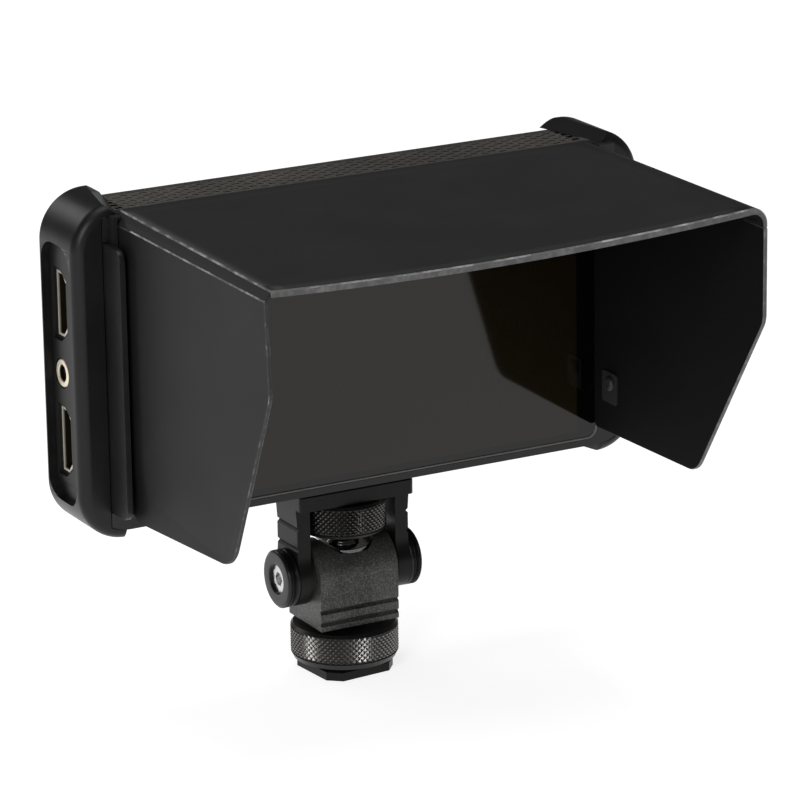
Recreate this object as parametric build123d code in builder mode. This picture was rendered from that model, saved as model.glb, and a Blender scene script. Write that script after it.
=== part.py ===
from build123d import *
import os
from math import cos, radians, sin, sqrt, tan

os.makedirs("parts", exist_ok=True)

# Frame: X across the screen, Y from the viewer towards the back, Z up.
# The origin is the centre of the shoe foot's underside.

# ---------------------------------------------------------------- clearances
FIT = 0.10        # fixed fit between parts that only touch
RUN = 0.05        # radial running clearance
GAP = 0.20        # visible shut line between mouldings
THREAD_GAP = 0.04  # radial play of a screw in its thread

# ------------------------------------------------------------- driving sizes
PIVOT_Z = 24.5
BODY_W = 140.8
BODY_H = 73.3
BODY_D = 19.6
BODY_Z = 48.5
FRONT_Y = -14.3
WALL = 1.6
END_WALL = 2.0

CAP_WALL = 2.2     # thickness of the bumper over the body
CAP_R = 11.0       # outer corner radius seen from the front

BODY_TOP = BODY_Z + BODY_H
BODY_MID = BODY_Z + BODY_H / 2
BACK_Y = FRONT_Y + BODY_D
HALF_W = BODY_W / 2

# the lip of the bumper laps this much of the body, front and back
LAP_REACH = 4.6
LAP_X = HALF_W - LAP_REACH
LAP_T = 1.2

SEAM_Y = FRONT_Y + 8.0
BODY_R = CAP_R - CAP_WALL + 0.5
BACK_R = 3.0
TOP_WALL = 2.4

# glass and display, held between the two rails of the hood
RAIL_EDGE = 0.3    # from a rail to the lap of the bumper
RAIL_T = 1.35
RAIL_OUT = LAP_X - RAIL_EDGE
RAIL_IN = RAIL_OUT - RAIL_T
GLASS_SIDE = 3.25
GLASS_EDGE = 1.7
GLASS_W = 2 * (RAIL_IN - GLASS_SIDE)
GLASS_H = BODY_H - 2 * GLASS_EDGE
GLASS_T = 1.0
GLASS_R = 3.3
BORDER_SIDE = 2.7
BORDER_TOP = 2.25
LCD_W = GLASS_W - 2 * BORDER_SIDE
LCD_H = GLASS_H - 2 * BORDER_TOP
LCD_T = 2.2
LCD_DROP = 0.65
LCD_Z = BODY_MID - LCD_DROP
SPREADER_T = 1.0
BOARD_T = 1.0
BOARD_LIFT = 1.75
BOARD_Y = SEAM_Y + BOARD_LIFT
BOARD_BACK = BOARD_Y + BOARD_T

# hood rails and their grooves in the chassis
RAIL_LOW = 4.6
RAIL_HIGH = 6.4
RAIL_REACH = 8.2   # how far the rails stand out in front of the screen
RAIL_Z0 = BODY_Z + RAIL_LOW
RAIL_Z1 = BODY_TOP - RAIL_HIGH
RAIL_FRONT = FRONT_Y - RAIL_REACH
RAIL_BACK = FRONT_Y + 6.5
GROOVE_BACK = FRONT_Y + 6.8

# sockets in the left end
PORT_EDGE = 20.75   # from the body's edge to the middle of a video socket
PORT_PITCH = BODY_H / 2 - PORT_EDGE
PORT_DROP = 2.1
PORT_Z = BODY_MID - PORT_DROP
HDMI_L = 15.0
HDMI_T = 5.55
HDMI_SHEET = 0.5
HDMI_DEEP = 11.9
PORT_RECESS = 0.8
JACK_BORE = 3.6
JACK_RING = 6.8
JACK_L = 12.0
SOCKET_Y = BOARD_BACK + HDMI_T / 2
PORT_X = -(HALF_W - PORT_RECESS)

# housing screws, hidden under the rear lap of the bumpers
SCREW_IN = 2.5
SCREW_X = HALF_W - SCREW_IN
SCREW_INSET = 8.0
SCREW_D = 2.0
SCREW_HEAD = 3.6
SCREW_HEAD_T = 1.3
SCREW_SEAT = BACK_Y - LAP_T - SCREW_HEAD_T

# 1/4 inch stud and its bush under the body
STUD_D = 6.35
STUD_PITCH = 1.27
BUSH_D = 9.4
BUSH_H = 7.5
BUSH_BOSS_R = 6.1

# top grille
GRILLE_END = 4.8
GRILLE_W = 2 * (LAP_X - GRILLE_END)
GRILLE_T = 1.0
GRILLE_Y0 = FRONT_Y + 3.0
GRILLE_Y1 = BACK_Y - BACK_R
GRILLE_LEDGE = 2.0
HOLE_W = 1.5
HOLE_H = 0.9
HOLE_PITCH_X = 2.4
HOLE_PITCH_Y = 1.3

# rear battery plate
PLATE_W = 40.0
PLATE_EDGE = 5.65
PLATE_H = BODY_H - 2 * PLATE_EDGE
PLATE_T = 2.4
PLATE_SINK = 0.6
PLATE_Z = BODY_MID
HOOK_W = 3.0
HOOK_OUT = 1.6
CONTACT_W = 1.0
CONTACT_PITCH = 5.0
LATCH_W = 9.0
LATCH_H = 5.0
LATCH_TRAVEL = 2.0

# power button on the back
BUTTON_D = 6.0
BUTTON_IN = 13.4
BUTTON_DOWN = 14.0
BUTTON_X = HALF_W - BUTTON_IN
BUTTON_Z = BODY_TOP - BUTTON_DOWN
BUTTON_TRAVEL = 0.5
BUTTON_PROUD = 0.6
FLANGE_T = 0.8


def span_box(x, y, z, mode=Mode.ADD):
    """A cuboid given by where it starts and ends on each axis."""
    with Locations(((x[0] + x[1]) / 2, (y[0] + y[1]) / 2, (z[0] + z[1]) / 2)):
        Box(x[1] - x[0], y[1] - y[0], z[1] - z[0], mode=mode)


def facing(y):
    """A sketch plane seen from the front, at depth y; extrude -t goes back."""
    return Plane.XZ.offset(-y)


def body_outline():
    """The rounded outline of the body, centred on the screen's height."""
    with Locations((0, BODY_MID)):
        RectangleRounded(BODY_W, BODY_H, BODY_R)


# ------------------------------------------------------------ front chassis
def make_front_frame():
    lap_y = FRONT_Y + LAP_T
    with BuildPart() as frame:
        # the full outline behind the lap of the bumpers
        with BuildSketch(facing(lap_y)):
            body_outline()
        extrude(amount=-(SEAM_Y - lap_y))
        # the raised middle between the bumpers
        with BuildSketch(facing(FRONT_Y)):
            body_outline()
            with Locations((0, BODY_MID)):
                Rectangle(2 * (LAP_X - GAP), BODY_H, mode=Mode.INTERSECT)
        extrude(amount=-LAP_T)
        # seat of the glass
        with BuildSketch(facing(FRONT_Y)):
            with Locations((0, BODY_MID)):
                RectangleRounded(GLASS_W + 2 * FIT, GLASS_H + 2 * FIT, GLASS_R)
        extrude(amount=-GLASS_T, mode=Mode.SUBTRACT)
        # window for the display, then the wider room for the heat spreader
        with BuildSketch(facing(FRONT_Y + GLASS_T)):
            with Locations((0, LCD_Z)):
                Rectangle(LCD_W + 2 * FIT, LCD_H + 2 * FIT)
        extrude(amount=-LCD_T, mode=Mode.SUBTRACT)
        span_box(
            (-CAVITY_X, CAVITY_X),
            (SPREADER_Y, SEAM_Y),
            (BODY_Z + WALL, BODY_TOP - TOP_WALL),
            mode=Mode.SUBTRACT,
        )
        # grooves that take the rails of the hood
        for side in (-1, 1):
            inner = side * (RAIL_IN - RUN)
            outer = side * (LAP_X - GAP)
            span_box(
                (min(inner, outer), max(inner, outer)),
                (FRONT_Y, GROOVE_BACK),
                (RAIL_Z0 - GAP, RAIL_Z1 + GAP),
                mode=Mode.SUBTRACT,
            )
        cut_grille_seat()
        # threads for the housing screws
        with BuildSketch(facing(SEAM_Y)):
            with Locations(*screw_points()):
                Circle(SCREW_D / 2 + THREAD_GAP)
        extrude(amount=SCREW_BITE + GAP, mode=Mode.SUBTRACT)
    return frame


GROOVE_WALL = 1.4
CAVITY_X = RAIL_IN - RUN - GROOVE_WALL
SPREADER_Y = FRONT_Y + GLASS_T + LCD_T
SCREW_BITE = 4.0


def screw_points():
    """The four housing screws, seen from the front."""
    low = BODY_Z + SCREW_INSET
    high = BODY_TOP - SCREW_INSET
    return [(-SCREW_X, low), (SCREW_X, low), (-SCREW_X, high), (SCREW_X, high)]


def cut_grille_seat():
    """The sunk seat of the grille and the air window under it."""
    span_box(
        (-GRILLE_W / 2 - FIT, GRILLE_W / 2 + FIT),
        (GRILLE_Y0 - FIT, GRILLE_Y1 + FIT),
        (BODY_TOP - GRILLE_T, BODY_TOP + 1),
        mode=Mode.SUBTRACT,
    )
    span_box(
        (-GRILLE_W / 2 + GRILLE_LEDGE, GRILLE_W / 2 - GRILLE_LEDGE),
        (GRILLE_Y0 + GRILLE_LEDGE, GRILLE_Y1 - GRILLE_LEDGE),
        (BODY_TOP - TOP_WALL - 1, BODY_TOP),
        mode=Mode.SUBTRACT,
    )


# ------------------------------------------------------------- rear housing
CAVITY_BACK = BACK_Y - LAP_T - WALL


def hdmi_face(grow):
    """The D outline of one socket: wide at the back, chamfered in front.
    Local x runs along Y and local y along Z."""
    long_half = HDMI_L / 2 + grow
    deep_half = HDMI_T / 2 + grow
    Polygon(
        (deep_half, -long_half),
        (deep_half, long_half),
        (-deep_half * 0.1, long_half),
        (-deep_half, long_half - HDMI_T * 0.4),
        (-deep_half, -long_half + HDMI_T * 0.4),
        (-deep_half * 0.1, -long_half),
        align=None,
    )


def port_points():
    """Where the two video sockets sit, as (Y, Z)."""
    return [(SOCKET_Y, PORT_Z + PORT_PITCH), (SOCKET_Y, PORT_Z - PORT_PITCH)]


def make_rear_housing():
    lap_y = BACK_Y - LAP_T
    with BuildPart() as housing:
        # end zones, one lap thinner so the bumper can reach round them
        with BuildSketch(Plane.YZ):
            back_profile(lap_y, BACK_R - LAP_T)
        extrude(amount=HALF_W, both=True)
        # the full-depth middle
        with BuildSketch(Plane.YZ):
            back_profile(BACK_Y, BACK_R)
        extrude(amount=LAP_X - GAP, both=True)
        # round the corners as seen from the front
        with BuildSketch(facing(SEAM_Y)):
            body_outline()
        extrude(amount=-(BACK_Y - SEAM_Y), mode=Mode.INTERSECT)
        # the hollow inside
        span_box(
            (-HALF_W + END_WALL, HALF_W - END_WALL),
            (SEAM_Y, CAVITY_BACK),
            (BODY_Z + WALL, BODY_TOP - TOP_WALL),
            mode=Mode.SUBTRACT,
        )
        # corner posts for the screws
        for x, z in screw_points():
            side = 1 if x > 0 else -1
            post = sorted((side * (SCREW_X - 3.2), side * (HALF_W - END_WALL)))
            to_wall = (BODY_Z + WALL, z + 3) if z < BODY_MID else (z - 3, BODY_TOP - TOP_WALL)
            span_box(post, (SEAM_Y, CAVITY_BACK), to_wall)
        with BuildSketch(facing(SEAM_Y)):
            body_outline()
        extrude(amount=-(BACK_Y - SEAM_Y), mode=Mode.INTERSECT)
        with BuildSketch(facing(SEAM_Y)):
            with Locations(*screw_points()):
                Circle(SCREW_D / 2 + FIT)
        extrude(amount=-(BACK_Y - SEAM_Y), mode=Mode.SUBTRACT)
        with BuildSketch(facing(SCREW_SEAT)):
            with Locations(*screw_points()):
                Circle(SCREW_HEAD / 2 + FIT)
        extrude(amount=-SCREW_HEAD_T * 2, mode=Mode.SUBTRACT)
        # boss that holds the thread bush
        with BuildSketch(Plane.XY.offset(BODY_Z)):
            Circle(BUSH_BOSS_R)
            with Locations((0, BUSH_BOSS_R / 2)):
                Rectangle(2 * BUSH_BOSS_R, BUSH_BOSS_R)
        extrude(amount=BUSH_H + WALL, mode=Mode.ADD)
        with BuildSketch(Plane.YZ):
            back_profile(BACK_Y, BACK_R)
        extrude(amount=HALF_W, both=True, mode=Mode.INTERSECT)
        with BuildSketch(Plane.XY.offset(BODY_Z)):
            Circle(BUSH_D / 2)
        extrude(amount=BUSH_H, mode=Mode.SUBTRACT)
        cut_grille_seat()
        cut_ports()
        cut_back_openings()
    return housing


def back_profile(back, radius):
    """Side view of the housing from the seam to its rounded back edges."""
    with Locations(((SEAM_Y + back) / 2, BODY_MID)):
        profile = Rectangle(back - SEAM_Y, BODY_H)
    rear = profile.vertices().sort_by(Axis.X)[-2:]
    fillet(rear, radius=radius)


def cut_ports():
    """Openings in the two ends for the sockets."""
    wall = END_WALL + 1
    with BuildSketch(Plane.YZ.offset(-HALF_W - 0.5)) as cut:
        with Locations(*port_points()):
            hdmi_face(FIT)
    extrude(cut.sketch, amount=wall, mode=Mode.SUBTRACT)
    with BuildSketch(Plane.YZ.offset(-HALF_W - 0.5)) as cut:
        with Locations(*port_points()):
            hdmi_face(PORT_RIM)
    extrude(cut.sketch, amount=0.5 + PORT_RECESS, mode=Mode.SUBTRACT)
    with BuildSketch(Plane.YZ.offset(-HALF_W - 0.5)) as cut:
        with Locations((SOCKET_Y, PORT_Z)):
            Circle(JACK_RING / 2 + FIT)
    extrude(cut.sketch, amount=wall, mode=Mode.SUBTRACT)
    with BuildSketch(Plane.YZ.offset(HALF_W + 0.5)) as cut:
        with Locations((DC_Y, PORT_Z)):
            Circle(DC_BARREL / 2 + FIT)
    extrude(cut.sketch, amount=-wall, mode=Mode.SUBTRACT)


PORT_RIM = 0.9
DC_BARREL = 5.6
DC_BORE = 4.0
DC_PIN = 1.4
DC_SIZE = 5.8
DC_Y = BOARD_BACK + DC_SIZE / 2

# back wall: seat of the battery plate, latch, contacts, button
PLATE_Y0 = BACK_Y - PLATE_SINK
PLATE_Y1 = PLATE_Y0 + PLATE_T
LATCH_Z = PLATE_Z + PLATE_H / 2 - 9.0
LATCH_LIP = 1.0
LATCH_BASE = PLATE_Y0 - FLANGE_T
CONTACT_Z = PLATE_Z - PLATE_H / 2 + 9.0
CONTACT_SLOT = 2 * CONTACT_PITCH + 3.0
PLATE_SCREW_D = 2.0
PLATE_SCREW_X = PLATE_W / 2 - 8.0
PLATE_SCREW_Z = PLATE_H / 2 - 4.0


def plate_screw_points():
    """The four screws of the battery plate, seen from the front."""
    low = PLATE_Z - PLATE_SCREW_Z
    high = PLATE_Z + PLATE_SCREW_Z
    x = PLATE_SCREW_X
    return [(-x, low), (x, low), (-x, high), (x, high)]


def cut_back_openings():
    """Seat of the battery plate and the holes through the back wall."""
    with BuildSketch(facing(PLATE_Y0)) as cut:
        with Locations((0, PLATE_Z)):
            Rectangle(PLATE_W + 2 * FIT, PLATE_H + 2 * FIT)
    extrude(cut.sketch, amount=-2 * PLATE_SINK, mode=Mode.SUBTRACT)
    with BuildSketch(facing(CAVITY_BACK)) as cut:
        with Locations((0, LATCH_Z)):
            Rectangle(LATCH_W + 2 * LATCH_LIP + GAP, LATCH_H + 2 * LATCH_LIP + GAP)
        with Locations((0, CONTACT_Z)):
            Rectangle(CONTACT_SLOT + GAP, 4 + GAP)
        with Locations((BUTTON_X, BUTTON_Z)):
            Circle(BUTTON_D / 2 + RUN)
        with Locations(*plate_screw_points()):
            Circle(PLATE_SCREW_D / 2 + THREAD_GAP)
    extrude(cut.sketch, amount=-2 * (BACK_Y - CAVITY_BACK), mode=Mode.SUBTRACT)


# --------------------------------------------------------- glass and display
def make_cover_glass():
    with BuildPart() as glass:
        with BuildSketch(facing(FRONT_Y)):
            with Locations((0, BODY_MID)):
                RectangleRounded(GLASS_W, GLASS_H, GLASS_R - FIT)
        extrude(amount=-GLASS_T)
    return glass


def make_lcd_panel():
    with BuildPart() as panel:
        with BuildSketch(facing(FRONT_Y + GLASS_T)):
            with Locations((0, LCD_Z)):
                Rectangle(LCD_W, LCD_H)
        extrude(amount=-LCD_T)
    return panel


SPREADER_EDGE = 1.0
SPREADER_H = LCD_H + 2 * SPREADER_EDGE
POST_D = 5.0
POST_IN = 14.2
POST_EDGE = 7.7
POST_X = CAVITY_X - POST_IN
POST_Z = SPREADER_H / 2 - POST_EDGE
BOARD_SCREW_D = 2.0


def post_points():
    """Posts that carry the board on the heat spreader."""
    low = BODY_MID - POST_Z
    high = BODY_MID + POST_Z
    return [(-POST_X, low), (POST_X, low), (-POST_X, high), (POST_X, high)]


def make_heat_spreader():
    back = SPREADER_Y + SPREADER_T
    with BuildPart() as spreader:
        with BuildSketch(facing(SPREADER_Y)):
            with Locations((0, LCD_Z)):
                Rectangle(2 * (CAVITY_X - FIT), SPREADER_H)
        extrude(amount=-SPREADER_T)
        with BuildSketch(facing(back)):
            with Locations(*post_points()):
                Circle(POST_D / 2)
        extrude(amount=-(BOARD_Y - back))
        with BuildSketch(facing(back)):
            with Locations(*post_points()):
                Circle(BOARD_SCREW_D / 2 + THREAD_GAP)
        extrude(amount=-(BOARD_Y - back), mode=Mode.SUBTRACT)
    return spreader


BOARD_X = HALF_W - END_WALL - 1.5
BOARD_Z0 = BODY_Z + WALL + 1.0
BOARD_Z1 = BODY_TOP - TOP_WALL - 1.0
BUSH_NOTCH = 2 * BUSH_BOSS_R + 2.0
CORNER_NOTCH_X = 5.9
CORNER_NOTCH_Z = SCREW_INSET - 2.0


def make_main_board():
    with BuildPart() as board:
        with BuildSketch(facing(BOARD_Y)):
            with Locations((0, (BOARD_Z0 + BOARD_Z1) / 2)):
                Rectangle(2 * BOARD_X, BOARD_Z1 - BOARD_Z0)
            with Locations(*screw_points()):
                Rectangle(2 * CORNER_NOTCH_X, 2 * CORNER_NOTCH_Z, mode=Mode.SUBTRACT)
            with Locations((0, BODY_Z)):
                Rectangle(BUSH_NOTCH, 2 * (BUSH_H + WALL + 1.0), mode=Mode.SUBTRACT)
            with Locations(*post_points()):
                Circle(BOARD_SCREW_D / 2 + FIT, mode=Mode.SUBTRACT)
        extrude(amount=-BOARD_T)
    return board


def make_board_screws():
    with BuildPart() as screws:
        with BuildSketch(facing(BOARD_Y - 2.5)):
            with Locations(*post_points()):
                Circle(BOARD_SCREW_D / 2)
        extrude(amount=-(2.5 + BOARD_T))
        with BuildSketch(facing(BOARD_BACK)):
            with Locations(*post_points()):
                Circle(BOARD_SCREW_D)
        extrude(amount=-1.2)
        with BuildSketch(facing(BOARD_BACK + 0.6)):
            with Locations(*post_points()):
                RegularPolygon(0.7, 6)
        extrude(amount=-1.0, mode=Mode.SUBTRACT)
    return screws


# ------------------------------------------------------------------ sockets
def make_hdmi_socket(z):
    with BuildPart() as socket:
        with BuildSketch(Plane.YZ.offset(PORT_X)):
            with Locations((SOCKET_Y, z)):
                hdmi_face(0)
        extrude(amount=HDMI_DEEP)
        with BuildSketch(Plane.YZ.offset(PORT_X)):
            with Locations((SOCKET_Y, z)):
                hdmi_face(-HDMI_SHEET)
        extrude(amount=HDMI_DEEP, mode=Mode.SUBTRACT)
    return socket


TONGUE_T = 1.0
TONGUE_L = 11.0
TONGUE_BLOCK = 4.0


def make_hdmi_tongues():
    with BuildPart() as tongues:
        with BuildSketch(Plane.YZ.offset(PORT_X + HDMI_DEEP - TONGUE_BLOCK)):
            with Locations(*port_points()):
                hdmi_face(-HDMI_SHEET)
        extrude(amount=TONGUE_BLOCK)
        with BuildSketch(Plane.YZ.offset(PORT_X + 1.0)):
            with Locations(*port_points()):
                Rectangle(TONGUE_T, TONGUE_L)
        extrude(amount=HDMI_DEEP - TONGUE_BLOCK - 1.0)
    return tongues


JACK_RING_T = 1.2
JACK_RING_X = -HALF_W
JACK_W = 7.6


def make_headphone_jack():
    front = JACK_RING_X + JACK_RING_T
    with BuildPart() as jack:
        # round nose in the wall, square body on the board
        with BuildSketch(Plane.YZ.offset(front)):
            with Locations((SOCKET_Y, PORT_Z)):
                Circle(HDMI_T / 2)
        extrude(amount=END_WALL)
        with BuildSketch(Plane.YZ.offset(-HALF_W + END_WALL + GAP)):
            with Locations((SOCKET_Y, PORT_Z)):
                Rectangle(HDMI_T, JACK_W)
        extrude(amount=JACK_L - END_WALL)
        with BuildSketch(Plane.YZ.offset(front)):
            with Locations((SOCKET_Y, PORT_Z)):
                Circle(JACK_BORE / 2)
        extrude(amount=JACK_L - 2.5, mode=Mode.SUBTRACT)
    return jack


def make_jack_collar():
    with BuildPart() as collar:
        with BuildSketch(Plane.YZ.offset(JACK_RING_X)):
            with Locations((SOCKET_Y, PORT_Z)):
                Circle(JACK_RING / 2)
                Circle(JACK_BORE / 2, mode=Mode.SUBTRACT)
        extrude(amount=JACK_RING_T)
        rim = collar.edges().filter_by(GeomType.CIRCLE).group_by(Axis.X)[0]
        chamfer(rim, length=0.35)
    return collar


def make_dc_socket():
    with BuildPart() as socket:
        with BuildSketch(Plane.YZ.offset(HALF_W - 0.6)):
            with Locations((DC_Y, PORT_Z)):
                Circle(DC_BARREL / 2)
        extrude(amount=-END_WALL)
        with BuildSketch(Plane.YZ.offset(HALF_W - END_WALL - GAP)):
            with Locations((DC_Y, PORT_Z)):
                Rectangle(DC_SIZE, DC_SIZE + 1)
        extrude(amount=-9.0)
        with BuildSketch(Plane.YZ.offset(HALF_W - 0.6)):
            with Locations((DC_Y, PORT_Z)):
                Circle(DC_BORE / 2)
                Circle(DC_PIN / 2, mode=Mode.SUBTRACT)
        extrude(amount=-8.0, mode=Mode.SUBTRACT)
    return socket


# ----------------------------------------------------------- top grille
def make_top_grille():
    length = GRILLE_Y1 - GRILLE_Y0
    middle = (GRILLE_Y0 + GRILLE_Y1) / 2
    columns = int((GRILLE_W - 8) / HOLE_PITCH_X)
    rows = int((length - 4) / (2 * HOLE_PITCH_Y))
    with BuildPart() as grille:
        with BuildSketch(Plane.XY.offset(BODY_TOP - GRILLE_T)):
            with Locations((0, middle)):
                Rectangle(GRILLE_W, length)
        extrude(amount=GRILLE_T)
        # two interleaved grids make the staggered rows
        with BuildSketch(Plane.XY.offset(BODY_TOP - GRILLE_T)):
            with Locations((0, middle)):
                with GridLocations(HOLE_PITCH_X, 2 * HOLE_PITCH_Y, columns, rows):
                    SlotOverall(HOLE_W, HOLE_H)
            with Locations((HOLE_PITCH_X / 2, middle + HOLE_PITCH_Y)):
                with GridLocations(HOLE_PITCH_X, 2 * HOLE_PITCH_Y, columns, rows):
                    SlotOverall(HOLE_W, HOLE_H)
        extrude(amount=GRILLE_T, mode=Mode.SUBTRACT)
    return grille


# ------------------------------------------------------------------ bumpers
LEG_BACK = 13.4
LEG_FRONT = 8.4
LEG_BACK_X = HALF_W - LEG_BACK
LEG_FRONT_X = HALF_W - LEG_FRONT
LEG_ROUGH_X = LEG_BACK_X - 7.0
LEG_SLOPE = 3.5
LEG_SLOPE_LOW = 0.5
CAP_TB = 2.3
CAP_FRONT_R = 2.6
CAP_BACK_R = 1.5
WINDOW_Z0 = BODY_Z + 5.2
WINDOW_Z1 = BODY_TOP - 7.8
WINDOW_Y0 = FRONT_Y + 2.9
WINDOW_Y1 = BACK_Y - 1.6
WINDOW_R = 5.5
CAP_X = HALF_W + CAP_WALL
CAP_BOTTOM = BODY_Z - CAP_TB
CAP_TOP = BODY_TOP + CAP_TB


def leg_end_plane(top):
    """The slanted, sloping face where a leg of the bumper ends."""
    sign = 1 if top else -1
    edge = BODY_TOP if top else BODY_Z
    root = Vector(-LEG_BACK_X, BACK_Y, edge)
    along = Vector(LEG_BACK_X - LEG_FRONT_X, FRONT_Y - BACK_Y, 0)
    slope = LEG_SLOPE if top else LEG_SLOPE_LOW
    rising = Vector(-slope, 0, sign * CAP_TB)
    normal = along.cross(rising) * sign
    if normal.X > 0:
        normal = normal * -1
    return Plane(origin=root, x_dir=along, z_dir=normal)


def make_left_bumper():
    with BuildPart() as bumper:
        with BuildSketch(facing(FRONT_Y)):
            with Locations((0, BODY_MID)):
                RectangleRounded(2 * CAP_X, CAP_TOP - CAP_BOTTOM, CAP_R)
            with Locations((-(CAP_X + LEG_ROUGH_X) / 2, BODY_MID)):
                Rectangle(CAP_X - LEG_ROUGH_X, CAP_TOP - CAP_BOTTOM, mode=Mode.INTERSECT)
        extrude(amount=-BODY_D)
        front = bumper.edges().group_by(Axis.Y)[0].sort_by(Axis.X)[:-1]
        fillet(front, radius=CAP_FRONT_R)
        back = bumper.edges().group_by(Axis.Y)[-1].sort_by(Axis.X)[:-1]
        fillet(back, radius=CAP_BACK_R)
        # room for the body
        with BuildSketch(facing(FRONT_Y + LAP_T)):
            with Locations((0, BODY_MID)):
                RectangleRounded(BODY_W, BODY_H, BODY_R - 0.5)
        extrude(amount=-(BODY_D - 2 * LAP_T), mode=Mode.SUBTRACT)
        with BuildSketch(facing(FRONT_Y)):
            with Locations((0, BODY_MID)):
                RectangleRounded(BODY_W, BODY_H, BODY_R - 0.5)
                Rectangle(2 * LAP_X, BODY_H, mode=Mode.INTERSECT)
        extrude(amount=-BODY_D, mode=Mode.SUBTRACT)
        # long window over the sockets
        with BuildSketch(Plane.YZ.offset(-CAP_X - 1)):
            with Locations(((WINDOW_Y0 + WINDOW_Y1) / 2, (WINDOW_Z0 + WINDOW_Z1) / 2)):
                RectangleRounded(WINDOW_Y1 - WINDOW_Y0, WINDOW_Z1 - WINDOW_Z0, WINDOW_R)
        extrude(amount=1 + CAP_WALL, mode=Mode.SUBTRACT)
        split(bisect_by=leg_end_plane(True), keep=Keep.TOP)
        split(bisect_by=leg_end_plane(False), keep=Keep.TOP)
    return bumper


# --------------------------------------------------- battery plate and latch
def make_battery_plate():
    with BuildPart() as plate:
        with BuildSketch(facing(PLATE_Y0)):
            with Locations((0, PLATE_Z)):
                RectangleRounded(PLATE_W, PLATE_H, 1.5)
        extrude(amount=-PLATE_T)
        # two hooked rails that hold the battery
        for side in (-1, 1):
            root = side * (PLATE_W / 2 - HOOK_W)
            edge = side * PLATE_W / 2
            x = (min(root, edge), max(root, edge))
            z = (PLATE_Z - PLATE_H / 4, PLATE_Z + PLATE_H / 4)
            span_box(x, (PLATE_Y1, PLATE_Y1 + 3.0), z)
            tip = side * (PLATE_W / 2 - HOOK_W - HOOK_OUT)
            x = (min(tip, edge), max(tip, edge))
            span_box(x, (PLATE_Y1 + 1.8, PLATE_Y1 + 3.0), z)
        with BuildSketch(facing(PLATE_Y0)):
            with Locations((0, LATCH_Z)):
                Rectangle(LATCH_W + GAP, LATCH_H + GAP)
            with Locations(*contact_points()):
                Rectangle(CONTACT_W + FIT, 4 + FIT)
            with Locations(*plate_screw_points()):
                Circle(PLATE_SCREW_D / 2 + FIT)
        extrude(amount=-PLATE_T, mode=Mode.SUBTRACT)
        with BuildSketch(facing(PLATE_Y1 - 1.0)):
            with Locations(*plate_screw_points()):
                Circle(PLATE_SCREW_D + FIT)
        extrude(amount=-1.0, mode=Mode.SUBTRACT)
    return plate


def contact_points():
    """The three blades of the battery contact."""
    return [(i * CONTACT_PITCH, CONTACT_Z) for i in (-1, 0, 1)]


def make_battery_contacts():
    with BuildPart() as contacts:
        # blades stand on the board and reach out past the plate
        with BuildSketch(facing(BOARD_BACK)):
            with Locations(*contact_points()):
                Rectangle(CONTACT_W, 4)
        extrude(amount=-(PLATE_Y1 + 2.5 - BOARD_BACK))
    return contacts


def make_contact_block():
    with BuildPart() as block:
        with BuildSketch(facing(BOARD_BACK)):
            with Locations((0, CONTACT_Z)):
                Rectangle(CONTACT_SLOT, 7)
            with Locations(*contact_points()):
                Rectangle(CONTACT_W + FIT, 4 + FIT, mode=Mode.SUBTRACT)
        extrude(amount=-4.0)
    return block


def make_battery_latch():
    with BuildPart() as latch:
        with BuildSketch(facing(LATCH_BASE)):
            with Locations((0, LATCH_Z)):
                Rectangle(LATCH_W + 2 * LATCH_LIP, LATCH_H + 2 * LATCH_LIP)
        extrude(amount=-FLANGE_T)
        with BuildSketch(facing(PLATE_Y0)):
            with Locations((0, LATCH_Z)):
                Rectangle(LATCH_W, LATCH_H)
        extrude(amount=-(PLATE_T + 2.0))
        lead = latch.edges().filter_by(Axis.X).group_by(Axis.Y)[-1].sort_by(Axis.Z)[0]
        chamfer(lead, length=1.5)
    return latch


def make_plate_screws():
    with BuildPart() as screws:
        with BuildSketch(facing(CAVITY_BACK + 0.3)):
            with Locations(*plate_screw_points()):
                Circle(PLATE_SCREW_D / 2)
        extrude(amount=-(PLATE_Y1 - CAVITY_BACK - 0.3))
        with BuildSketch(facing(PLATE_Y1 - 1.0)):
            with Locations(*plate_screw_points()):
                Circle(PLATE_SCREW_D)
        extrude(amount=-0.9)
        with BuildSketch(facing(PLATE_Y1 - 0.6)):
            with Locations(*plate_screw_points()):
                RegularPolygon(0.7, 6)
        extrude(amount=-1.0, mode=Mode.SUBTRACT)
    return screws


# -------------------------------------------------- button, switch, fasteners
SWITCH_SIZE = 6.0
SWITCH_H = 3.6
PLUNGER_D = 3.0


def make_power_button():
    end = BOARD_BACK + SWITCH_H + BUTTON_TRAVEL
    with BuildPart() as button:
        with BuildSketch(facing(end)):
            with Locations((BUTTON_X, BUTTON_Z)):
                Circle(PLUNGER_D / 2)
        extrude(amount=-(CAVITY_BACK - end))
        with BuildSketch(facing(CAVITY_BACK - FLANGE_T)):
            with Locations((BUTTON_X, BUTTON_Z)):
                Circle(BUTTON_D / 2 + 1)
        extrude(amount=-FLANGE_T)
        with BuildSketch(facing(CAVITY_BACK)):
            with Locations((BUTTON_X, BUTTON_Z)):
                Circle(BUTTON_D / 2)
        extrude(amount=-(BACK_Y + BUTTON_PROUD - CAVITY_BACK))
        chamfer(button.edges().group_by(Axis.Y)[-1], length=0.3)
    return button


def make_power_switch():
    with BuildPart() as switch:
        with BuildSketch(facing(BOARD_BACK)):
            with Locations((BUTTON_X, BUTTON_Z)):
                Rectangle(SWITCH_SIZE, SWITCH_SIZE)
        extrude(amount=-(SWITCH_H - 1.0))
        with BuildSketch(facing(BOARD_BACK + SWITCH_H - 1.0)):
            with Locations((BUTTON_X, BUTTON_Z)):
                Circle(PLUNGER_D / 2)
        extrude(amount=-1.0)
    return switch


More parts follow.
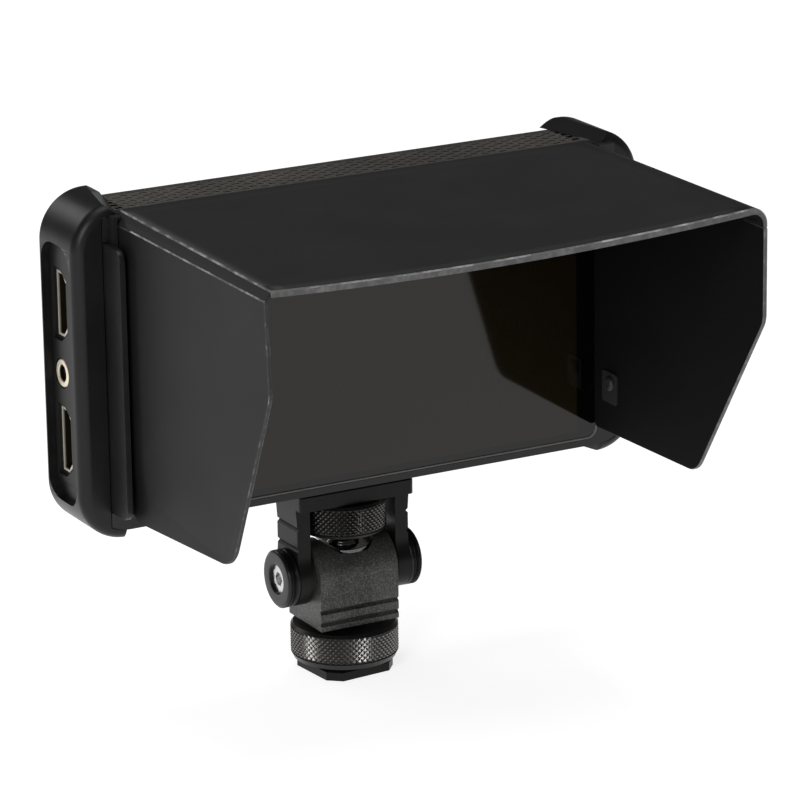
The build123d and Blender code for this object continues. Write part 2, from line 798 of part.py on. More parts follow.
def make_housing_screws():
    with BuildPart() as screws:
        with BuildSketch(facing(SEAM_Y - SCREW_BITE)):
            with Locations(*screw_points()):
                Circle(SCREW_D / 2)
        extrude(amount=-(SCREW_SEAT - SEAM_Y + SCREW_BITE))
        with BuildSketch(facing(SCREW_SEAT)):
            with Locations(*screw_points()):
                Circle(SCREW_HEAD / 2)
        extrude(amount=-(SCREW_HEAD_T - FIT))
        with BuildSketch(facing(SCREW_SEAT + 0.5)):
            with Locations(*screw_points()):
                RegularPolygon(0.8, 6)
        extrude(amount=-SCREW_HEAD_T, mode=Mode.SUBTRACT)
    return screws


def make_thread_bush():
    with BuildPart() as bush:
        with BuildSketch(Plane.XY.offset(BODY_Z)):
            Circle(BUSH_D / 2)
            Circle(STUD_D / 2 + THREAD_GAP, mode=Mode.SUBTRACT)
        extrude(amount=BUSH_H)
    return bush


# ==================================================================== hood
HOOD_BACK = FRONT_Y - 0.3
HOOD_L = 72.5
HOOD_T = 1.5       # the top board
SIDE_T = 1.0       # the side boards and the cloth hinges
HOOD_X = -1.0      # the hood sits a little off the middle of the screen
HOOD_IN = 2.25     # from the inside of a rail to the hood, on average
HOOD_HALF = RAIL_IN - HOOD_IN
HOOD_ABOVE = 0.8
HOOD_TOP = BODY_TOP + HOOD_ABOVE
HOOD_FALL = 0.6
SPINE_H = 2.6      # slanted strip at the left fold: its height
SPINE_IN = 1.7     # and its width
BEND_R = 4.0       # rounded strip at the right fold
PANEL_GAP = 0.2
LEFT_H = BODY_H - 5.5
RIGHT_H = BODY_H - 8.2
LEFT_KNEE = 20.8
RIGHT_KNEE = 20.8
LEFT_TUCK = 2.4
RIGHT_TUCK = 1.2
LEFT_SLANT = 22.2
RIGHT_SLANT = 27.5
LOW_R = 9.0
KNEE_R = 6.0

FALL = Vector(0, -HOOD_L, -HOOD_FALL).normalized()
LID_PLANE = Plane(
    origin=(HOOD_X, HOOD_BACK, HOOD_TOP),
    x_dir=(1, 0, 0),
    z_dir=Vector(1, 0, 0).cross(FALL * -1),
)
# the same corner seen from behind, looking along the hood: y runs up
HOOD_SECTION = Plane(origin=(HOOD_X, HOOD_BACK, HOOD_TOP), x_dir=(1, 0, 0), z_dir=FALL)


def make_hood_top_panel():
    left = -HOOD_HALF + SPINE_IN
    right = HOOD_HALF - BEND_R
    with BuildPart() as panel:
        with BuildSketch(LID_PLANE):
            with Locations(((left + right) / 2, -HOOD_L / 2)):
                Rectangle(right - left, HOOD_L)
        extrude(amount=-HOOD_T)
    return panel


def make_left_hinge_spine():
    """Slanted strip between the top and the left board."""
    top_in = -HOOD_HALF + SPINE_IN
    with BuildPart() as spine:
        with BuildSketch(HOOD_SECTION):
            Polygon(
                (top_in, 0),
                (-HOOD_HALF, -SPINE_H),
                (-HOOD_HALF + SIDE_T, -SPINE_H),
                (top_in, -HOOD_T),
                align=None,
            )
        extrude(amount=HOOD_L)
    return spine


def make_right_hinge_strip():
    """Rounded strip between the top and the right board."""
    middle = (HOOD_HALF - BEND_R, -BEND_R)
    with BuildPart() as strip:
        with BuildSketch(HOOD_SECTION):
            with Locations(middle):
                Circle(BEND_R)
                Circle(BEND_R - SIDE_T, mode=Mode.SUBTRACT)
            with Locations((middle[0] + BEND_R / 2, middle[1] + BEND_R / 2)):
                Rectangle(BEND_R, BEND_R, mode=Mode.INTERSECT)
        extrude(amount=HOOD_L)
    return strip


def hinge_start(side, drop):
    """Rear end of the fold line of one side panel."""
    z = HOOD_TOP - drop - PANEL_GAP - SIDE_T / 2
    return Vector(HOOD_X + side * (HOOD_HALF - SIDE_T / 2), HOOD_BACK, z)


def panel_plane(side, drop):
    """Middle plane of a side panel: x runs forward, y runs up."""
    return Plane(origin=hinge_start(side, drop), x_dir=FALL, z_dir=FALL.cross(Vector(0, 0, 1)))


CLIP_Y = 4.9
CLIP_W = 6.3
CLIP_T = 0.5
CLIP_LOW = 7.7
CLIP_H = 7.5
RIVET_D = 2.0
RIVET_HEAD = 3.6
RIVET_U = 8.4
RIVET_UP = 4.9
SLOT_H = 1.4


def make_side_panel(side, drop, height, knee, tuck, slant):
    drop_to_edge = height - SIDE_T / 2
    front_edge = drop_to_edge - tuck
    # the fold line falls to the front, so upright edges lean in this plane
    lean = HOOD_FALL / HOOD_L
    corners = [
        (0, 0),
        (HOOD_L, 0),
        (HOOD_L + knee * lean, -knee),
        (HOOD_L - slant + front_edge * lean, -front_edge),
        (drop_to_edge * lean, -drop_to_edge),
    ]
    with BuildPart() as panel:
        with BuildSketch(panel_plane(side, drop)) as outline:
            Polygon(*corners, align=None)
            low = outline.vertices().sort_by_distance(corners[3])[0]
            fillet(low, radius=LOW_R)
            bend = outline.vertices().sort_by_distance(corners[2])[0]
            fillet(bend, radius=KNEE_R)
            heel = outline.vertices().sort_by_distance(corners[4])[0]
            fillet(heel, radius=2.0)
            with Locations((RIVET_U, -drop_to_edge + CLIP_LOW + RIVET_UP)):
                Circle(RIVET_D / 2 + RUN, mode=Mode.SUBTRACT)
            with Locations((CLIP_Y + CLIP_W / 2, -drop_to_edge + CLIP_LOW - SLOT_H)):
                SlotOverall(CLIP_W, SLOT_H, mode=Mode.SUBTRACT)
        extrude(amount=SIDE_T / 2, both=True)
        # rounded top edge that turns in the hinge
        with BuildSketch(Plane(origin=hinge_start(side, drop), z_dir=FALL)):
            Circle(SIDE_T / 2)
        extrude(amount=HOOD_L)
    return panel


def inner_face(side, drop):
    """Sketch plane on the inside of a side panel, normal pointing inwards."""
    middle = panel_plane(side, drop)
    inwards = middle.z_dir * side
    origin = middle.origin + inwards * (SIDE_T / 2)
    return Plane(origin=origin, x_dir=middle.x_dir, z_dir=inwards)


def make_hood_clip(side, drop, height):
    """A spring clip lying on the inside of the panel."""
    up = side
    base = -(height - SIDE_T / 2) + CLIP_LOW
    with BuildPart() as clip:
        with BuildSketch(inner_face(side, drop)):
            with Locations((CLIP_Y + CLIP_W / 2, up * (base + CLIP_H / 2))):
                RectangleRounded(CLIP_W, CLIP_H, 0.8)
            with Locations((RIVET_U, up * (base + RIVET_UP))):
                Circle(RIVET_D / 2 + RUN, mode=Mode.SUBTRACT)
        extrude(amount=CLIP_T)
    return clip


def make_hood_rivet(side, drop, height):
    """A rivet through the clip and the panel, domed inside."""
    base = -(height - SIDE_T / 2) + CLIP_LOW
    spot = (RIVET_U, side * (base + RIVET_UP))
    plane = inner_face(side, drop)
    with BuildPart() as rivet:
        with BuildSketch(plane.offset(-SIDE_T)):
            with Locations(spot):
                Circle(RIVET_D / 2)
        extrude(amount=SIDE_T + CLIP_T)
        with BuildSketch(plane.offset(CLIP_T)):
            with Locations(spot):
                Circle(RIVET_HEAD / 2)
        extrude(amount=0.9)
        dome = rivet.faces().sort_by_distance(plane.from_local_coords((*spot, 9)))[0].edges()
        fillet(dome, radius=0.8)
    return rivet


WEB_FRONT = FRONT_Y - 2.7
WEB_BACK = FRONT_Y - 0.4
LUG_GAP = 0.06
LUG_TOP = HOOD_TOP - 0.8
LUG_BOTTOM = HOOD_TOP - 1.4


def make_rail(side):
    """Plate in the body's groove, its web, and the lug beside the hood's top."""
    hood_x = HOOD_X + side * HOOD_HALF
    # the fold of the hood stands back from its side by this much at the lug
    if side < 0:
        stand_back = SPINE_IN * (1 - (HOOD_TOP - LUG_BOTTOM) / SPINE_H)
    else:
        rise = BEND_R - (HOOD_TOP - LUG_BOTTOM)
        stand_back = BEND_R - sqrt(BEND_R ** 2 - rise ** 2)
    lug_x = hood_x - side * (stand_back - LUG_GAP)
    inner = side * RAIL_IN
    with BuildPart() as rail:
        plate = sorted((inner, side * RAIL_OUT))
        span_box(plate, (RAIL_FRONT, RAIL_BACK), (RAIL_Z0, RAIL_Z1))
        nose = rail.edges().filter_by(Axis.X).sort_by(Axis.Y)[:2]
        fillet(nose, radius=2.5)
        web = sorted((inner, hood_x + side * GAP))
        span_box(web, (WEB_FRONT, WEB_BACK), (RAIL_Z0 + 1, LUG_TOP))
        lug = sorted((inner, lug_x))
        span_box(lug, (WEB_FRONT, WEB_BACK), (LUG_BOTTOM, LUG_TOP))
    return rail


# =================================================================== mount
PAD_T = 2.2
YOKE_TOP = BODY_Z - PAD_T
YOKE_HALF = 14.9
YOKE_CORNER = 1.2
YOKE_FRONT = -8.1
LIP_Z = 42.4
ARM_IN = 11.2
ARM_OUT = 14.6
ARM_Y0 = -5.3
ARM_Y1 = 4.8
EAR_R = 6.85
EAR_BLEND = 8.0     # the arms run into the round ears with this radius
FLARE_Z = 38.3      # above this the arms widen to the plate
YOKE_GROOVES = (37.5, 32.5)
GROOVE_W = 1.0
GROOVE_D = 0.5

BLOCK_HALF = 10.25
BLOCK_R = 8.2
BLOCK_Z = 12.5
BLOCK_GROOVES = (17.2, 14.25)
BLOCK_FLAT = 29.9
FLAT_R = 7.0

PIVOT_D = 4.0
PIVOT_HEAD_D = 6.8
PIVOT_HEAD_T = 1.6
PIVOT_SEAT = 15.4
PIVOT_TIP = 5.0
PIVOT_CAP_D = 13.8
PIVOT_CAP_X = 17.7
HEX_KEY = 3.0

STEM_D = 10.0
STEM_TOP = 17.5
SCREW4_D = 4.0
SCREW4_HEAD = 6.8
SCREW4_HEAD_T = 1.5
SCREW4_TIP = 8.0
WASHER_T = 0.3
TAB_T = 0.6
TAB_R = 6.5
TAB_FLANK = 3.6     # half width of the tail, which also trims one side
TAB_TAIL = 6.8

WHEEL_R = 10.4
WHEEL_Z0 = 34.5
WHEEL_Z1 = 42.2
KNURL_DEPTH = 0.4
STUD_TIP = BODY_Z + 6.5
CLIP_RING_Z = 47.2
CLIP_RING_T = 0.7
CLIP_RING_D = 10.0

FOOT = 18.6
FOOT_T = 2.0
FOOT_CUT = 2.9
FOOT_TURN = 4.75    # the foot stands turned on its thread
CLAMP_D = 17.5
CLAMP_T = 0.9
CLAMP_Z = 2.2
RING_R = 12.8
RING_Z0 = 3.15
RING_Z1 = 11.55
RING_KNURL0 = 4.4
RING_KNURL1 = 10.9


def v_grooves(x, y, heights):
    """V grooves along X cut into a face at depth y."""
    for z in heights:
        with BuildSketch(Plane.YZ.offset(x[0])) as cut:
            with Locations(Location((y, z), 45)):
                Rectangle(GROOVE_W * 0.8, GROOVE_W * 0.8)
        extrude(cut.sketch, amount=x[1] - x[0], mode=Mode.SUBTRACT)


def make_mount_pad():
    with BuildPart() as pad:
        with BuildSketch(Plane.XY.offset(YOKE_TOP)):
            RectangleRounded(2 * YOKE_HALF - 0.6, -2 * YOKE_FRONT - 0.6, 1.0)
            Circle(CLIP_RING_D / 2 + 0.3, mode=Mode.SUBTRACT)
        extrude(amount=PAD_T)
    return pad


def blend_ear(y, z):
    """Fill between an arm's flat at depth y and its ear, z above the pivot."""
    sign = 1 if y > 0 else -1
    middle = (y + sign * EAR_BLEND, PIVOT_Z + z)
    share = EAR_R / (EAR_R + EAR_BLEND)
    touch = (middle[0] * share, PIVOT_Z + z * share)
    Polygon((y, PIVOT_Z + z), touch, (0, PIVOT_Z), (0, PIVOT_Z + z), align=None)
    with Locations(middle):
        Circle(EAR_BLEND, mode=Mode.SUBTRACT)


def blend_rise(y):
    """Height above the pivot where the blend leaves an arm's flat."""
    return sqrt((EAR_R + EAR_BLEND) ** 2 - (abs(y) + EAR_BLEND) ** 2)


def make_yoke():
    with BuildPart() as yoke:
        span_box((-YOKE_HALF, YOKE_HALF), (YOKE_FRONT, -YOKE_FRONT), (LIP_Z, YOKE_TOP))
        fillet(yoke.edges().filter_by(Axis.Z), radius=YOKE_CORNER)
        chamfer(yoke.faces().sort_by(Axis.Z)[-1].edges(), length=0.5)
        for side in (-1, 1):
            x = sorted((side * ARM_IN, side * ARM_OUT))
            span_box(x, (ARM_Y0, ARM_Y1), (PIVOT_Z, LIP_Z))
            for y in (ARM_Y0, ARM_Y1):
                with BuildSketch(Plane.YZ.offset(x[0])):
                    blend_ear(y, blend_rise(y))
                extrude(amount=ARM_OUT - ARM_IN)
            with BuildSketch(Plane.YZ.offset(x[0])):
                with Locations((0, PIVOT_Z)):
                    Circle(EAR_R)
            extrude(amount=ARM_OUT - ARM_IN)
            outer = side * ARM_OUT
            with BuildSketch(facing(ARM_Y0)):
                corner = (side * YOKE_HALF, LIP_Z)
                Polygon((outer, FLARE_Z), corner, (outer, LIP_Z), align=None)
            extrude(amount=-(ARM_Y1 - ARM_Y0))
            for z in YOKE_GROOVES:
                with BuildSketch(facing(ARM_Y0 - 1)):
                    with Locations(Location((outer, z), 45)):
                        Rectangle(GROOVE_W * 0.8, GROOVE_W * 0.8)
                extrude(amount=-(ARM_Y1 - ARM_Y0 + 2), mode=Mode.SUBTRACT)
        with BuildSketch(Plane.YZ):
            with Locations((0, PIVOT_Z)):
                Circle(PIVOT_D / 2 + RUN)
        extrude(amount=ARM_OUT, both=True, mode=Mode.SUBTRACT)
        with BuildSketch(Plane.XY.offset(LIP_Z)):
            Circle(STUD_D / 2 + FIT)
        extrude(amount=YOKE_TOP - LIP_Z, mode=Mode.SUBTRACT)
    return yoke


def knurl(radius, low, high, count):
    """Grooves of a straight knurl between two heights."""
    with BuildSketch(Plane.XY.offset(low)) as cut:
        with PolarLocations(radius + 0.12, count):
            Rectangle(0.7, 0.7, rotation=45)
    extrude(cut.sketch, amount=high - low, mode=Mode.SUBTRACT)


def make_thumb_wheel():
    with BuildPart() as wheel:
        with BuildSketch(Plane.XY.offset(WHEEL_Z0)):
            Circle(WHEEL_R)
        extrude(amount=WHEEL_Z1 - WHEEL_Z0)
        rims = wheel.edges().filter_by(GeomType.CIRCLE)
        chamfer(rims, length=0.6)
        knurl(WHEEL_R, WHEEL_Z0, WHEEL_Z1, 56)
        with BuildSketch(Plane.XY.offset(WHEEL_Z0 + 1.3)):
            Circle(STUD_D / 2)
        extrude(amount=WHEEL_Z1 - WHEEL_Z0, mode=Mode.SUBTRACT)
    return wheel


def make_mounting_stud():
    with BuildPart() as stud:
        with BuildSketch(Plane.XY.offset(WHEEL_Z0 + 1.3)):
            Circle(STUD_D / 2)
        extrude(amount=STUD_TIP - WHEEL_Z0 - 1.3)
        chamfer(stud.edges().group_by(Axis.Z)[-1], length=0.7)
        with BuildSketch(Plane.XY.offset(CLIP_RING_Z)):
            Circle(STUD_D / 2)
            Circle(STUD_D / 2 - 0.6, mode=Mode.SUBTRACT)
        extrude(amount=CLIP_RING_T, mode=Mode.SUBTRACT)
    return stud


def make_stud_ring():
    with BuildPart() as ring:
        with BuildSketch(Plane.XY.offset(CLIP_RING_Z + FIT / 2)):
            Circle(CLIP_RING_D / 2)
            Circle(STUD_D / 2 - 0.6 + RUN, mode=Mode.SUBTRACT)
        extrude(amount=CLIP_RING_T - FIT)
    return ring


def make_tilt_block():
    with BuildPart() as block:
        span_box((-BLOCK_HALF, BLOCK_HALF), (-BLOCK_R, BLOCK_R), (BLOCK_Z, PIVOT_Z))
        with BuildSketch(Plane.YZ):
            with Locations((0, PIVOT_Z)):
                Circle(BLOCK_R)
        extrude(amount=BLOCK_HALF, both=True)
        # round seat for the washers, open to the back for the tail
        with BuildSketch(Plane.XY.offset(BLOCK_FLAT)):
            Circle(FLAT_R)
            with Locations((0, BLOCK_R / 2)):
                Rectangle(2 * FLAT_R, BLOCK_R)
        extrude(amount=BLOCK_R, mode=Mode.SUBTRACT)
        x = (-BLOCK_HALF, BLOCK_HALF)
        v_grooves(x, -BLOCK_R, BLOCK_GROOVES)
        v_grooves(x, BLOCK_R, BLOCK_GROOVES)
        # cross bore for the pivot screws, open at both ends only
        for side in (-1, 1):
            with BuildSketch(Plane.YZ.offset(side * (PIVOT_TIP - GAP))):
                with Locations((0, PIVOT_Z)):
                    Circle(PIVOT_D / 2 + THREAD_GAP)
            extrude(amount=side * BLOCK_HALF, mode=Mode.SUBTRACT)
        with BuildSketch(Plane.XY.offset(BLOCK_Z)):
            Circle(STEM_D / 2 + THREAD_GAP)
        extrude(amount=STEM_TOP - BLOCK_Z, mode=Mode.SUBTRACT)
        with BuildSketch(Plane.XY.offset(BLOCK_Z)):
            Circle(SCREW4_D / 2 + FIT)
        extrude(amount=BLOCK_R + PIVOT_Z - BLOCK_Z, mode=Mode.SUBTRACT)
    return block


def make_pivot_screws():
    with BuildPart() as screws:
        for side in (-1, 1):
            with BuildSketch(Plane.YZ.offset(side * PIVOT_TIP)):
                with Locations((0, PIVOT_Z)):
                    Circle(PIVOT_D / 2)
            extrude(amount=side * (PIVOT_SEAT - PIVOT_TIP))
            with BuildSketch(Plane.YZ.offset(side * PIVOT_SEAT)):
                with Locations((0, PIVOT_Z)):
                    Circle(PIVOT_HEAD_D / 2)
            extrude(amount=side * PIVOT_HEAD_T)
            with BuildSketch(Plane.YZ.offset(side * (PIVOT_SEAT + 0.5))):
                with Locations((0, PIVOT_Z)):
                    RegularPolygon(HEX_KEY / 2, 6, major_radius=False)
            extrude(amount=side * PIVOT_HEAD_T, mode=Mode.SUBTRACT)
    return screws


def make_pivot_cap(side):
    """Stepped cap over an ear, with a well for the screw head."""
    with BuildPart() as cap:
        with BuildSketch(Plane.YZ.offset(side * ARM_OUT)):
            with Locations((0, PIVOT_Z)):
                Circle(PIVOT_CAP_D / 2)
        extrude(amount=side * (PIVOT_CAP_X - ARM_OUT))
        outer = cap.faces().sort_by(Axis.X)[0 if side < 0 else -1].edges()
        chamfer(outer, length=0.5)
        for height in (0.9, 1.9):
            with BuildSketch(Plane.YZ.offset(side * (ARM_OUT + height))):
                with Locations((0, PIVOT_Z)):
                    Circle(PIVOT_CAP_D / 2 + 1)
                    Circle(PIVOT_CAP_D / 2 - 0.35, mode=Mode.SUBTRACT)
            extrude(amount=side * 0.35, mode=Mode.SUBTRACT)
        with BuildSketch(Plane.YZ.offset(side * PIVOT_SEAT)):
            with Locations((0, PIVOT_Z)):
                Circle(PIVOT_HEAD_D / 2 + RUN)
        extrude(amount=side * PIVOT_CAP_X, mode=Mode.SUBTRACT)
        with BuildSketch(Plane.YZ.offset(side * ARM_OUT)):
            with Locations((0, PIVOT_Z)):
                Circle(PIVOT_D / 2 + RUN)
        extrude(amount=side * 2, mode=Mode.SUBTRACT)
    return cap


def make_friction_washers():
    with BuildPart() as washers:
        for side in (-1, 1):
            with BuildSketch(Plane.YZ.offset(side * BLOCK_HALF)):
                with Locations((0, PIVOT_Z)):
                    Circle(EAR_R - 0.5)
                    Circle(PIVOT_D / 2 + RUN, mode=Mode.SUBTRACT)
            extrude(amount=side * (ARM_IN - BLOCK_HALF))
    return washers


TAB_Z = BLOCK_FLAT + WASHER_T
HEAD_Z = TAB_Z + TAB_T


def make_screw_washer():
    with BuildPart() as washer:
        with BuildSketch(Plane.XY.offset(BLOCK_FLAT)):
            Circle(FLAT_R - GAP - 0.5)
            Circle(SCREW4_D / 2 + FIT, mode=Mode.SUBTRACT)
        extrude(amount=WASHER_T)
    return washer


def make_tab_washer():
    """Washer with a straight tail towards the back."""
    with BuildPart() as washer:
        with BuildSketch(Plane.XY.offset(TAB_Z)):
            Circle(TAB_R)
            with Locations((-TAB_FLANK - TAB_R, 0)):
                Rectangle(2 * TAB_R, 3 * TAB_R, mode=Mode.SUBTRACT)
            with Locations((0, TAB_TAIL / 2)):
                Rectangle(2 * TAB_FLANK, TAB_TAIL)
            Circle(SCREW4_D / 2 + FIT, mode=Mode.SUBTRACT)
        extrude(amount=TAB_T)
    return washer


def make_stem_screw():
    with BuildPart() as screw:
        with BuildSketch(Plane.XY.offset(SCREW4_TIP)):
            Circle(SCREW4_D / 2)
        extrude(amount=HEAD_Z - SCREW4_TIP)
        with BuildSketch(Plane.XY.offset(HEAD_Z)):
            Circle(SCREW4_HEAD / 2)
        extrude(amount=SCREW4_HEAD_T)
        chamfer(screw.edges().group_by(Axis.Z)[-1], length=0.3)
        with BuildSketch(Plane.XY.offset(HEAD_Z + 0.4)):
            RegularPolygon(HEX_KEY / 2, 6, major_radius=False)
        extrude(amount=SCREW4_HEAD_T, mode=Mode.SUBTRACT)
    return screw


def make_shoe_foot():
    """Square foot and threaded stem turned from one bar."""
    with BuildPart() as foot:
        with BuildSketch(Plane.XY):
            square = Rectangle(FOOT, FOOT, rotation=FOOT_TURN)
            chamfer(square.vertices(), length=FOOT_CUT)
        extrude(amount=FOOT_T)
        with BuildSketch(Plane.XY.offset(FOOT_T)):
            Circle(STEM_D / 2)
        extrude(amount=STEM_TOP - FOOT_T)
        with BuildSketch(Plane.XY.offset(SCREW4_TIP - 1)):
            Circle(SCREW4_D / 2 + THREAD_GAP)
        extrude(amount=STEM_TOP, mode=Mode.SUBTRACT)
    return foot


def make_clamp_washer():
    with BuildPart() as washer:
        with BuildSketch(Plane.XY.offset(CLAMP_Z)):
            Circle(CLAMP_D / 2)
            Circle(STEM_D / 2 + RUN, mode=Mode.SUBTRACT)
        extrude(amount=CLAMP_T)
    return washer


def make_lock_ring():
    with BuildPart() as ring:
        with BuildSketch(Plane.XY.offset(RING_Z0)):
            Circle(RING_R)
        extrude(amount=RING_Z1 - RING_Z0)
        rims = ring.edges().filter_by(GeomType.CIRCLE)
        chamfer(rims.sort_by(Axis.Z)[0], length=0.9)
        top = ring.edges().filter_by(GeomType.CIRCLE).sort_by(Axis.Z)[-1]
        chamfer(top, length=0.5)
        knurl(RING_R, RING_KNURL0, RING_KNURL1, 66)
        with BuildSketch(Plane.XY.offset(RING_Z0)):
            Circle(STEM_D / 2 + RUN)
        extrude(amount=RING_Z1 - RING_Z0, mode=Mode.SUBTRACT)
    return ring


# ================================================== build and write the parts
front_frame = make_front_frame()
front_frame.part.label = "front_frame"
export_step(front_frame.part, "parts/front_frame.step")

rear_housing = make_rear_housing()
rear_housing.part.label = "rear_housing"
export_step(rear_housing.part, "parts/rear_housing.step")

cover_glass = make_cover_glass()
cover_glass.part.label = "cover_glass"
export_step(cover_glass.part, "parts/cover_glass.step")

lcd_panel = make_lcd_panel()
lcd_panel.part.label = "lcd_panel"
export_step(lcd_panel.part, "parts/lcd_panel.step")

heat_spreader = make_heat_spreader()
heat_spreader.part.label = "heat_spreader"
export_step(heat_spreader.part, "parts/heat_spreader.step")

main_board = make_main_board()
main_board.part.label = "main_board"
export_step(main_board.part, "parts/main_board.step")

board_screws = make_board_screws()
board_screws.part.label = "board_screws"
export_step(board_screws.part, "parts/board_screws.step")

hdmi_input_socket = make_hdmi_socket(PORT_Z + PORT_PITCH)
hdmi_input_socket.part.label = "hdmi_input_socket"
export_step(hdmi_input_socket.part, "parts/hdmi_input_socket.step")

hdmi_output_socket = make_hdmi_socket(PORT_Z - PORT_PITCH)
hdmi_output_socket.part.label = "hdmi_output_socket"
export_step(hdmi_output_socket.part, "parts/hdmi_output_socket.step")

hdmi_tongues = make_hdmi_tongues()
hdmi_tongues.part.label = "hdmi_tongues"
export_step(hdmi_tongues.part, "parts/hdmi_tongues.step")

headphone_jack = make_headphone_jack()
headphone_jack.part.label = "headphone_jack"
export_step(headphone_jack.part, "parts/headphone_jack.step")

jack_collar = make_jack_collar()
jack_collar.part.label = "jack_collar"
export_step(jack_collar.part, "parts/jack_collar.step")

dc_socket = make_dc_socket()
dc_socket.part.label = "dc_socket"
export_step(dc_socket.part, "parts/dc_socket.step")

top_grille = make_top_grille()
top_grille.part.label = "top_grille"
export_step(top_grille.part, "parts/top_grille.step")

left_bumper = make_left_bumper()
left_bumper.part.label = "left_bumper"
export_step(left_bumper.part, "parts/left_bumper.step")

with BuildPart() as right_bumper:
    mirror(left_bumper.part, about=Plane.YZ)
right_bumper.part.label = "right_bumper"
export_step(right_bumper.part, "parts/right_bumper.step")

battery_plate = make_battery_plate()
battery_plate.part.label = "battery_plate"
export_step(battery_plate.part, "parts/battery_plate.step")

battery_contacts = make_battery_contacts()
battery_contacts.part.label = "battery_contacts"
export_step(battery_contacts.part, "parts/battery_contacts.step")

contact_block = make_contact_block()
contact_block.part.label = "contact_block"
export_step(contact_block.part, "parts/contact_block.step")

battery_latch = make_battery_latch()
battery_latch.part.label = "battery_latch"
export_step(battery_latch.part, "parts/battery_latch.step")

plate_screws = make_plate_screws()
plate_screws.part.label = "plate_screws"
export_step(plate_screws.part, "parts/plate_screws.step")

power_button = make_power_button()
power_button.part.label = "power_button"
export_step(power_button.part, "parts/power_button.step")

power_switch = make_power_switch()
power_switch.part.label = "power_switch"
export_step(power_switch.part, "parts/power_switch.step")

housing_screws = make_housing_screws()
housing_screws.part.label = "housing_screws"
export_step(housing_screws.part, "parts/housing_screws.step")

thread_bush = make_thread_bush()
thread_bush.part.label = "thread_bush"
export_step(thread_bush.part, "parts/thread_bush.step")

hood_top_panel = make_hood_top_panel()
hood_top_panel.part.label = "hood_top_panel"
export_step(hood_top_panel.part, "parts/hood_top_panel.step")

left_hinge_spine = make_left_hinge_spine()
left_hinge_spine.part.label = "left_hinge_spine"
export_step(left_hinge_spine.part, "parts/left_hinge_spine.step")

right_hinge_strip = make_right_hinge_strip()
right_hinge_strip.part.label = "right_hinge_strip"
export_step(right_hinge_strip.part, "parts/right_hinge_strip.step")

hood_left_panel = make_side_panel(-1, SPINE_H, LEFT_H, LEFT_KNEE, LEFT_TUCK, LEFT_SLANT)
hood_left_panel.part.label = "hood_left_panel"
export_step(hood_left_panel.part, "parts/hood_left_panel.step")

hood_right_panel = make_side_panel(1, BEND_R, RIGHT_H, RIGHT_KNEE, RIGHT_TUCK, RIGHT_SLANT)
hood_right_panel.part.label = "hood_right_panel"
export_step(hood_right_panel.part, "parts/hood_right_panel.step")

left_hood_clip = make_hood_clip(-1, SPINE_H, LEFT_H)
left_hood_clip.part.label = "left_hood_clip"
export_step(left_hood_clip.part, "parts/left_hood_clip.step")

right_hood_clip = make_hood_clip(1, BEND_R, RIGHT_H)
right_hood_clip.part.label = "right_hood_clip"
export_step(right_hood_clip.part, "parts/right_hood_clip.step")

left_hood_rivet = make_hood_rivet(-1, SPINE_H, LEFT_H)
left_hood_rivet.part.label = "left_hood_rivet"
export_step(left_hood_rivet.part, "parts/left_hood_rivet.step")

right_hood_rivet = make_hood_rivet(1, BEND_R, RIGHT_H)
right_hood_rivet.part.label = "right_hood_rivet"
export_step(right_hood_rivet.part, "parts/right_hood_rivet.step")

left_rail = make_rail(-1)
left_rail.part.label = "left_rail"
export_step(left_rail.part, "parts/left_rail.step")

right_rail = make_rail(1)
right_rail.part.label = "right_rail"
export_step(right_rail.part, "parts/right_rail.step")

mount_pad = make_mount_pad()
mount_pad.part.label = "mount_pad"
export_step(mount_pad.part, "parts/mount_pad.step")

yoke = make_yoke()
yoke.part.label = "yoke"
export_step(yoke.part, "parts/yoke.step")

thumb_wheel = make_thumb_wheel()
thumb_wheel.part.label = "thumb_wheel"
export_step(thumb_wheel.part, "parts/thumb_wheel.step")

mounting_stud = make_mounting_stud()
mounting_stud.part.label = "mounting_stud"
export_step(mounting_stud.part, "parts/mounting_stud.step")

stud_ring = make_stud_ring()
stud_ring.part.label = "stud_ring"
export_step(stud_ring.part, "parts/stud_ring.step")

tilt_block = make_tilt_block()
tilt_block.part.label = "tilt_block"
export_step(tilt_block.part, "parts/tilt_block.step")

pivot_screws = make_pivot_screws()
pivot_screws.part.label = "pivot_screws"
export_step(pivot_screws.part, "parts/pivot_screws.step")

left_pivot_cap = make_pivot_cap(-1)
left_pivot_cap.part.label = "left_pivot_cap"
export_step(left_pivot_cap.part, "parts/left_pivot_cap.step")

right_pivot_cap = make_pivot_cap(1)
right_pivot_cap.part.label = "right_pivot_cap"
export_step(right_pivot_cap.part, "parts/right_pivot_cap.step")

friction_washers = make_friction_washers()
friction_washers.part.label = "friction_washers"
export_step(friction_washers.part, "parts/friction_washers.step")

screw_washer = make_screw_washer()
screw_washer.part.label = "screw_washer"
export_step(screw_washer.part, "parts/screw_washer.step")

tab_washer = make_tab_washer()
tab_washer.part.label = "tab_washer"
export_step(tab_washer.part, "parts/tab_washer.step")

stem_screw = make_stem_screw()
stem_screw.part.label = "stem_screw"
export_step(stem_screw.part, "parts/stem_screw.step")

shoe_foot = make_shoe_foot()
shoe_foot.part.label = "shoe_foot"
export_step(shoe_foot.part, "parts/shoe_foot.step")

clamp_washer = make_clamp_washer()
clamp_washer.part.label = "clamp_washer"
export_step(clamp_washer.part, "parts/clamp_washer.step")

lock_ring = make_lock_ring()
lock_ring.part.label = "lock_ring"
export_step(lock_ring.part, "parts/lock_ring.step")
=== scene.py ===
# %% [markdown]
# # A camera-top field monitor with a sun hood
# The measured solids come in as a frame that never moves. Around them this
# lesson builds what a person sees: the hood with its worn cut edges, the soft
# end caps, the knurled wheels, the perforated top and the finish of each part.

